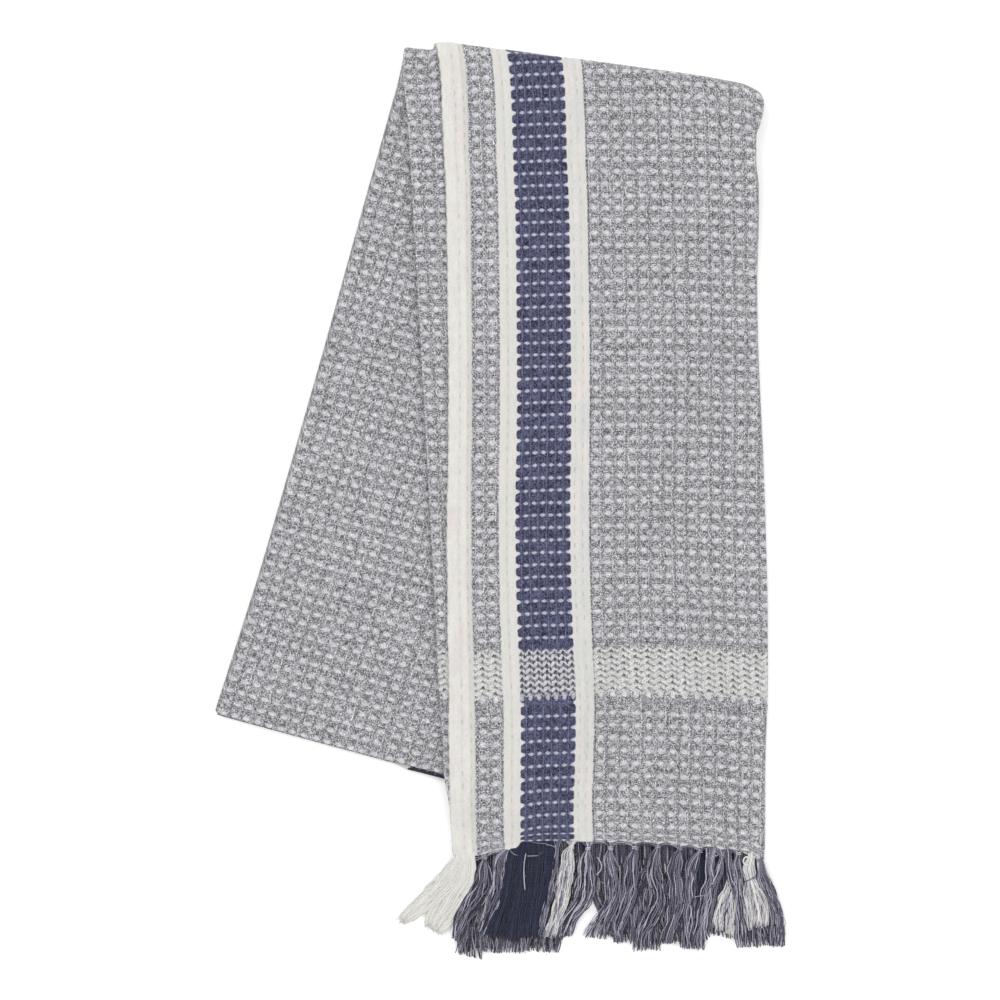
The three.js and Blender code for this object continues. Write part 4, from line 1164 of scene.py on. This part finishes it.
def cloth_material():
    N = Net("waffle_weave")
    uvn = N.t.nodes.new("ShaderNodeUVMap")
    uvn.uv_map = "weave"
    sep = N.t.nodes.new("ShaderNodeSeparateXYZ")
    N.t.links.new(uvn.outputs[0], sep.inputs[0])
    u0, w0 = V(N, sep.outputs[0]), V(N, sep.outputs[1])
    # the yarns wander a little
    wander = N.noise(N.xyz(u0, w0), 0.11, 1.0)
    wander2 = N.noise(N.xyz(w0, u0, 40.0), 0.13, 1.0)
    u = u0 + (wander - 0.5) * 0.5
    w = w0 + (wander2 - 0.5) * 0.55
    m = N.math("MINIMUM", u, WIDTH - u)
    low = N.math("LESS_THAN", w, 79.0)
    dy = N.cell(w, ROW_LOW, ROW_LOW_PITCH) * low + N.cell(w, ROW_HIGH, ROW_HIGH_PITCH) * (1 - low)
    ady = N.math("ABSOLUTE", dy)

    # yarn level: dark flecks on a light ground, on the grid of the yarns
    iu, iw = N.math("FLOOR", u / WARP), N.math("FLOOR", w / WEFT)
    speck = N.white(N.math("FLOOR", u / 0.47), N.math("FLOOR", w / 0.45))
    block = N.white(iu, iw, 1.0)
    grain = N.white(N.math("FLOOR", u / 0.93), N.math("FLOOR", w / 0.88), 5.0)
    check = N.math("SINE", u * (math.pi / WARP)) * N.math("SINE", w * (math.pi / WEFT))
    warp_tone = N.white(iu, 3.0, 7.0)
    weft_tone = N.white(3.0, iw, 9.0)
    fleck = N.noise(N.xyz(u, w), 0.9, 2.0, 0.7)
    fine = N.noise(N.xyz(u, w, 3.0), 1.9, 1.0, 0.6)
    mottle = N.noise(N.xyz(u, w, 9.0), 0.045, 2.0, 0.6)
    tint = N.noise(N.xyz(u * 0.5, w * 0.16, 21.0), 0.5, 1.0)
    upright = N.white(N.math("FLOOR", u / 0.46), N.math("FLOOR", w / 1.35 + warp_tone), 13.0)
    level = N.white(N.math("FLOOR", u / 1.50 + weft_tone), N.math("FLOOR", w / 0.45), 15.0)
    yarns = (speck - 0.5) * 0.45 + (upright - 0.5) * 0.12 + (level - 0.5) * 0.09 + (block - 0.5) * 0.04 \
        + check * 0.05 * (grain * 1.3 + 0.1) \
        + (warp_tone - 0.5) * 0.04 + (weft_tone - 0.5) * 0.03 + (fine - 0.5) * 0.04

    def dot_mask(first, pitch, rx, ry):
        dx = N.cell(m, first, pitch)
        q = N.math("SQRT", (dx / rx) * (dx / rx) + (dy / ry) * (dy / ry)) * 0.55 \
            + (N.math("ABSOLUTE", dx) / rx + ady / ry) * 0.36
        q = q + (fleck - 0.5) * 0.35 + (block - 0.5) * 0.25 + (speck - 0.5) * 0.34
        regular = 1 - N.between(w, 65.3, 91.5, 0.3)
        return dx, (1 - N.step(q, 0.60, 1.20)) * regular

    def zigzag(first, pitch, climb):
        """Distance to the nearest dark zigzag line, how near a dot column, and the band's mask."""
        r = (m - first) / pitch
        tri = N.math("ABSOLUTE", r - N.math("ROUND", r)) * 2.0        # 0 at a dot column, 1 between
        right = N.step(r - N.math("ROUND", r), -0.12, 0.12)
        wz = w + (tri - 0.5) * climb + (fleck - 0.5) * 1.3 + (speck - 0.5) * 0.55
        d = N.math("ABSOLUTE", N.cell(wz, ZIG_FIRST, ZIG_PITCH))
        half_cell = N.math("FLOOR", (m - first) / pitch * 2.0 + 0.5)
        each = N.white(half_cell, N.math("FLOOR", (w - ZIG_FIRST) / ZIG_PITCH + 0.5), 11.0)
        inside = N.between(wz, ZIG_FIRST - 1.15, ZIG_FIRST + ZIG_PITCH * (ZIG_ROWS - 1) + 1.75, 0.3)
        peak = (1 - N.step(tri, 0.10, 0.52)) * (0.55 + each * 0.75)
        valley = N.step(tri, 0.55, 0.90) * (0.45 + each * 0.95)
        return d + (0.5 - right) * 0.34, peak, valley, inside

    def long_dots(first, pitch, rx, ry):
        dx = N.cell(m, first, pitch)
        dk = w - KNOT_ROW
        q = N.math("SQRT", (dx / rx) * (dx / rx) + (dk / ry) * (dk / ry)) + (fleck - 0.5) * 0.7
        return 1 - N.step(q, 0.55, 1.2)

    # grey field and grey strip
    def grey(first, pitch, rise):
        dx, dot = dot_mask(first, pitch, 1.68, 1.14)
        adx = N.math("ABSOLUTE", dx)
        off_row = N.step(ady, 0.5, 1.5)
        # pit: painted shade, darker just above and below each dot where the waffle sinks
        pit = N.bell(dx, 1.7) * N.bell(ady - 2.2, 1.2)
        bright = N.bell(dx - 2.05, 0.46) * (0.25 + grain * 0.75)
        dotted = N.bell(adx - pitch / 2, 0.42) * (0.5 - check * 0.9)
        base = 0.615 + bright * 0.125 - dotted * 0.14 - pit * 0.055
        picks = N.math("COSINE", w * (2 * math.pi / WEFT)) * N.bell(dx, 1.9) * off_row * block
        ends = N.math("COSINE", (adx - pitch / 2) * (2 * math.pi / 0.93)) * (1 - N.bell(dx, 1.9)) * grain
        base = base + yarns + picks * 0.12 + ends * 0.10
        lit = 0.868 + (speck - 0.5) * 0.18 + (level - 0.5) * 0.08 + (block - 0.5) * 0.06
        g = base + (lit - base) * dot * 0.86
        knots = long_dots(first, pitch, 1.35, 1.9)
        g = g + (lit + 0.02 - g) * knots * 0.90
        d, peak, valley, inside = zigzag(first, pitch, rise)
        dark = 1 - N.step(d - peak * 0.24 - valley * 0.12, 0.06, 0.58)
        zg = 0.840 - dark * (0.16 + peak * 0.22 + valley * 0.12) + yarns * 0.50
        return g + (zg - g) * inside, dot * (1 - inside), inside

    g_field, dot_field, band_field = grey(COLUMN_AT, COLUMN, ZIG_RISE["grey"])
    g_grey, dot_grey, band_grey = grey(GREY_DOT, GREY_PITCH, ZIG_RISE["grey"])
    ragged = (grain - 0.5) * 0.5
    in_field = N.step(m + ragged, STRIPS["white3"][1] - 0.25, STRIPS["white3"][1] + 0.25)
    g = g_field * in_field + g_grey * (1 - in_field)
    first_end = N.bell(m - STRIPS["white3"][1] - 0.45, 0.35) * (0.3 + block * 0.7)
    g = g * (0.985 + (mottle - 0.5) * 0.07) - first_end * 0.16
    cool = N.mix(tint, (0.985, 0.985, 1.0, 1), (1.0, 0.975, 1.07, 1))
    cool = N.mix(N.between(w, ZIG_FIRST - 1.2, BAND[1], 0.6) * 0.8, cool, (0.985, 0.985, 0.965, 1))
    grey_col = N.scale(cool, N.math("POWER", N.math("MAXIMUM", g, 0.10), 2.2))

    # blue stripe: blocks of dark yarn between the dot rows, thin pale lines beside the dots
    dxn, dot_n = dot_mask(NAVY_DOT, NAVY_PITCH, 1.14, 0.78)
    line_n = N.bell(dxn - 1.62, 0.42) * (0.6 + (grain - 0.5) * 0.9)
    patch = N.noise(N.xyz(u, w, 51.0), 0.20, 1.0)
    dusk = N.step(speck * 0.56 + upright * 0.32 + level * 0.16 + (patch - 0.5) * 0.5, 0.12, 0.96)
    navy = N.mix(dusk, linear((24, 28, 46)), linear((102, 103, 136)))
    navy = N.mix(line_n * 0.50, navy, linear((150, 152, 176)))
    rowline = N.bell(dy, 1.0) * 0.22
    navy = N.mix(rowline, navy, linear((128, 132, 158)))
    navy = N.mix(dot_n * (0.76 + (speck - 0.5) * 0.50), navy, linear((206, 208, 230)))
    knots_n = long_dots(NAVY_DOT, NAVY_PITCH, 1.05, 1.7)
    slub = N.math("COSINE", w * (2 * math.pi / 0.95)) * 0.5 + 0.5
    navy = N.mix(knots_n * (0.50 + slub * 0.30 + (speck - 0.5) * 0.4), navy, linear((220, 216, 226)))
    d_n, peak_n, valley_n, band_n = zigzag(NAVY_DOT, NAVY_PITCH, ZIG_RISE["navy"])
    dark_n = 1 - N.step(d_n - peak_n * 0.30 - valley_n * 0.16, 0.22, 1.00)
    zig_n = N.mix(dark_n * (0.70 + peak_n * 0.34 + valley_n * 0.34 + (speck - 0.5) * 0.26),
                  linear((224, 223, 229)), linear((54, 53, 62)))
    zig_n = N.mix(0.20 + (speck - 0.5) * 0.55, zig_n, linear((116, 116, 128)))
    navy = N.mix(band_n, navy, zig_n)
    navy = N.mix(N.step(w, 655, 660) * 0.75, navy, linear((34, 38, 48)))         # the far end darkened: painted shade of the bottom edge
    # its edges bulge between the dot rows
    b = (ROW_HIGH_PITCH / 2 - ady + (fleck - 0.5) * 0.6) / 2.10
    notch = (1 - N.math("SQRT", N.math("MAXIMUM", 1 - b * b * b * b, 0.0))) * (1 - band_n)
    lo = m - notch * 1.70 + (grain - 0.5) * 0.2
    hi = m + notch * 0.95 + (grain - 0.5) * 0.2
    in_navy = N.step(lo, STRIPS["navy"][0] - 0.62, STRIPS["navy"][0] - 0.02) * \
        (1 - N.step(hi, STRIPS["navy"][1] + 0.10, STRIPS["navy"][1] + 0.66))

    # white stripes
    in_grey = N.between(m + ragged, STRIPS["grey"][0], STRIPS["grey"][1], 0.25)
    white = N.mix(N.step(m, 9.0, 12.0), linear((238, 237, 230)), linear((228, 228, 223)))
    white = N.mix(N.step(m, 40.0, 50.0), white, linear((223, 224, 220)))
    white = N.mix(N.step(tint, 0.35, 0.7), white, linear((235, 229, 226)))
    inner = N.between(m, 30.5, 53.1, 0.5)
    white = N.mix(inner * 0.85, white, linear((208, 208, 222)))
    # painted shade: the white is darkened along the grooves and over the first stripe's right edge
    soft = N.bell(m - 4.9, 1.2) * 0.6 + N.between(m, 8.1, 10.9, 0.4) * 1.30 + N.bell(m - 25.7, 1.0) * 0.8 \
        + N.bell(m - 59.0, 1.0) * 0.5
    white = N.mix(soft * 0.26, white, linear((190, 188, 180)))
    # painted shadow: dark dashes along the ribs, one each weave row, where the stitches dip (also sunk in the bump)
    shaded_dashes = 0.0
    row_id = N.math("FLOOR", (w - ROW_HIGH) / ROW_HIGH_PITCH)
    for at, phase, strong in ((5.2, -0.9, 0.30), (8.7, 2.2, 0.34), (25.8, 2.73, 0.32), (28.9, 1.4, 0.12),
                              (55.9, 2.73, 0.42), (59.5, 2.4, 0.38), (61.7, 1.0, 0.10)):
        row = N.math("ABSOLUTE", N.cell(dy + 0.0, phase, ROW_HIGH_PITCH))
        shaded_dashes = shaded_dashes + N.bell(m - at, 0.42) * (1 - N.step(row + (fleck - 0.5) * 1.6, 0.7, 1.5)) \
            * (0.10 + N.white(row_id, at, 4.0) * 1.25) * strong
    white = N.mix(shaded_dashes, white, linear((128, 128, 122)))
    streak = N.noise(N.xyz(u * 2.4, w * 0.30, 33.0), 0.8, 1.0)
    white = N.mix((speck - 0.5) * 0.22 + (streak - 0.5) * 0.40 + 0.14, white, linear((186, 184, 180)))
    beads = (N.bell(m - 7.0, 0.5) + N.bell(m - 27.4, 0.5) + N.bell(m - 57.4, 0.5)) \
        * N.bell(N.cell(dy, ROW_HIGH_PITCH / 2, ROW_HIGH_PITCH / 2), 1.1)
    white = N.mix(beads * (1 - inner) * 0.30, white, linear((248, 248, 243)))

    is_grey = in_field + in_grey
    col = N.mix(is_grey, white, grey_col)
    col = N.scale(N.mix(in_navy, col, navy), 0.835)
    N.link(col, N.bsdf.inputs["Base Color"])

    rough = 0.90 + (speck - 0.5) * 0.12
    N.link(rough, N.bsdf.inputs["Roughness"])
    N.bsdf.inputs["Specular IOR Level"].default_value = 0.25
    N.bsdf.inputs["Sheen Weight"].default_value = 0.25
    N.bsdf.inputs["Sheen Roughness"].default_value = 0.5

    # yarns in relief
    rough_part = is_grey + in_navy
    weave = check * 0.025 + ((speck - 0.5) * 0.022 + (upright + level - 1.0) * 0.012 + (fleck - 0.5) * 0.025) \
        * (0.35 + rough_part * 0.65)
    dots = dot_field * in_field + dot_grey * in_grey
    height = weave + dots * 0.10 + dot_n * in_navy * 0.05 - shaded_dashes * (1 - rough_part) * 0.16
    b = N.t.nodes.new("ShaderNodeBump")
    b.inputs["Strength"].default_value = 0.8
    b.inputs["Distance"].default_value = 1.0 * MM
    N.link(height, b.inputs["Height"])
    N.t.links.new(b.outputs[0], N.bsdf.inputs["Normal"])
    return N.mat


towel.data.materials.append(cloth_material())


def yarn_material(name, dark, light, spread, fuzz, twist=0.18, relief_=0.7, sheen=0.3, pitch=1.5):
    """Twisted yarn; the map's whole number is the yarn, its fraction goes round, v is mm along."""
    N = Net(name)
    uvn = N.t.nodes.new("ShaderNodeUVMap")
    uvn.uv_map = "yarn"
    sep = N.t.nodes.new("ShaderNodeSeparateXYZ")
    N.t.links.new(uvn.outputs[0], sep.inputs[0])
    u, v = V(N, sep.outputs[0]), V(N, sep.outputs[1])
    number = N.math("FLOOR", u)
    round_ = u - number
    tone = N.white(number, 2.0, 5.0)
    slow = N.noise(N.xyz(number * 3.7, v * 0.12), 1.0, 1.0)
    quick = N.noise(N.xyz(number * 5.3, v * 0.9, round_ * 1.5), 1.0, 2.0, 0.7)
    ply = N.math("SINE", (round_ * 2.0 + v / pitch) * (2 * math.pi)) * 0.5 + 0.5
    f = 0.5 + (tone - 0.5) * spread + (slow - 0.5) * 0.5 + (quick - 0.5) * fuzz + (ply - 0.5) * twist
    col = N.mix(N.step(f, 0.0, 1.0), linear(dark), linear(light))
    # yarns of the lower layers (v past 900) are darkened by 26%: painted shade under the top layer's fringe
    N.link(N.scale(col, (1 - N.step(v, 900, 950) * 0.26) * 0.835), N.bsdf.inputs["Base Color"])
    N.bsdf.inputs["Roughness"].default_value = 0.88
    N.bsdf.inputs["Specular IOR Level"].default_value = 0.25
    N.bsdf.inputs["Sheen Weight"].default_value = sheen
    N.bsdf.inputs["Sheen Roughness"].default_value = 0.5
    b = N.t.nodes.new("ShaderNodeBump")
    b.inputs["Strength"].default_value = relief_
    b.inputs["Distance"].default_value = 0.25 * MM
    N.link(ply + quick * 0.6, b.inputs["Height"])
    N.t.links.new(b.outputs[0], N.bsdf.inputs["Normal"])
    return N.mat


YARN_LOOKS = [
    ("slate_yarn", (40, 40, 58), (120, 118, 141), 0.9, 0.6, 0.18, 0.7),
    ("pale_yarn", (126, 123, 144), (220, 216, 229), 0.9, 0.5, 0.18, 0.7),
    ("navy_yarn", (17, 21, 44), (46, 53, 84), 0.7, 0.4, 0.0, 0.10),
    ("cream_yarn", (220, 219, 213), (247, 246, 240), 0.4, 0.4, 0.08, 0.3),
]
for piece, look in zip(fringe_pieces, YARN_LOOKS):
    piece.data.materials.append(yarn_material(*look))



# ---------------------------------------------------------------------------------------------
# stage and light
# ---------------------------------------------------------------------------------------------


def make_stage():
    mesh = bpy.data.meshes.new("floor")
    s = 8.0
    mesh.from_pydata([(-s, -s, 0), (s, -s, 0), (s, s, 0), (-s, s, 0)], [], [(0, 1, 2, 3)])
    floor = bpy.data.objects.new("floor", mesh)
    floor.location.z = -0.00005
    bpy.context.scene.collection.objects.link(floor)
    mat = bpy.data.materials.new("floor")
    mat.use_nodes = True
    p = mat.node_tree.nodes["Principled BSDF"]
    p.inputs["Base Color"].default_value = (1.0, 1.0, 1.0, 1)
    p.inputs["Roughness"].default_value = 0.9
    p.inputs["Specular IOR Level"].default_value = 0.1
    p.inputs["Emission Color"].default_value = (1.0, 1.0, 1.0, 1)
    p.inputs["Emission Strength"].default_value = 0.14
    mesh.materials.append(mat)
    return floor


floor = make_stage()


def area(name, location, size, power, target=(0, 0, 0)):
    data = bpy.data.lights.new(name, "AREA")
    data.shape = "SQUARE"
    data.size = size
    data.energy = power
    o = bpy.data.objects.new(name, data)
    o.location = location
    direction = np.array(target) - np.array(location)
    from mathutils import Vector
    o.rotation_mode = "QUATERNION"
    o.rotation_quaternion = Vector(direction).to_track_quat("-Z", "Y")
    bpy.context.scene.collection.objects.link(o)
    return o


area("key", (-1.3, 1.2, 2.2), 1.4, 27)
area("fill", (1.6, -0.6, 2.0), 1.6, 17)

world = bpy.data.worlds.new("world")
bpy.context.scene.world = world
world.use_nodes = True
wt = world.node_tree
wt.nodes.clear()
wo = wt.nodes.new("ShaderNodeOutputWorld")
bg_light = wt.nodes.new("ShaderNodeBackground")
bg_light.inputs[0].default_value = (1.0, 1.0, 1.0, 1)
bg_light.inputs[1].default_value = 0.77
bg_seen = wt.nodes.new("ShaderNodeBackground")
bg_seen.inputs[0].default_value = (0.95, 0.95, 0.95, 1)
bg_seen.inputs[1].default_value = 1.0
lp = wt.nodes.new("ShaderNodeLightPath")
mx = wt.nodes.new("ShaderNodeMixShader")
wt.links.new(lp.outputs["Is Camera Ray"], mx.inputs[0])
wt.links.new(bg_light.outputs[0], mx.inputs[1])
wt.links.new(bg_seen.outputs[0], mx.inputs[2])
wt.links.new(mx.outputs[0], wo.inputs[0])
bpy.context.scene.view_settings.view_transform = "Standard"

# ---------------------------------------------------------------------------------------------
# frame
# ---------------------------------------------------------------------------------------------
for piece in [towel] + fringe_pieces:
    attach(piece, "root")
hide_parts("cloth")
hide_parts("fringe")
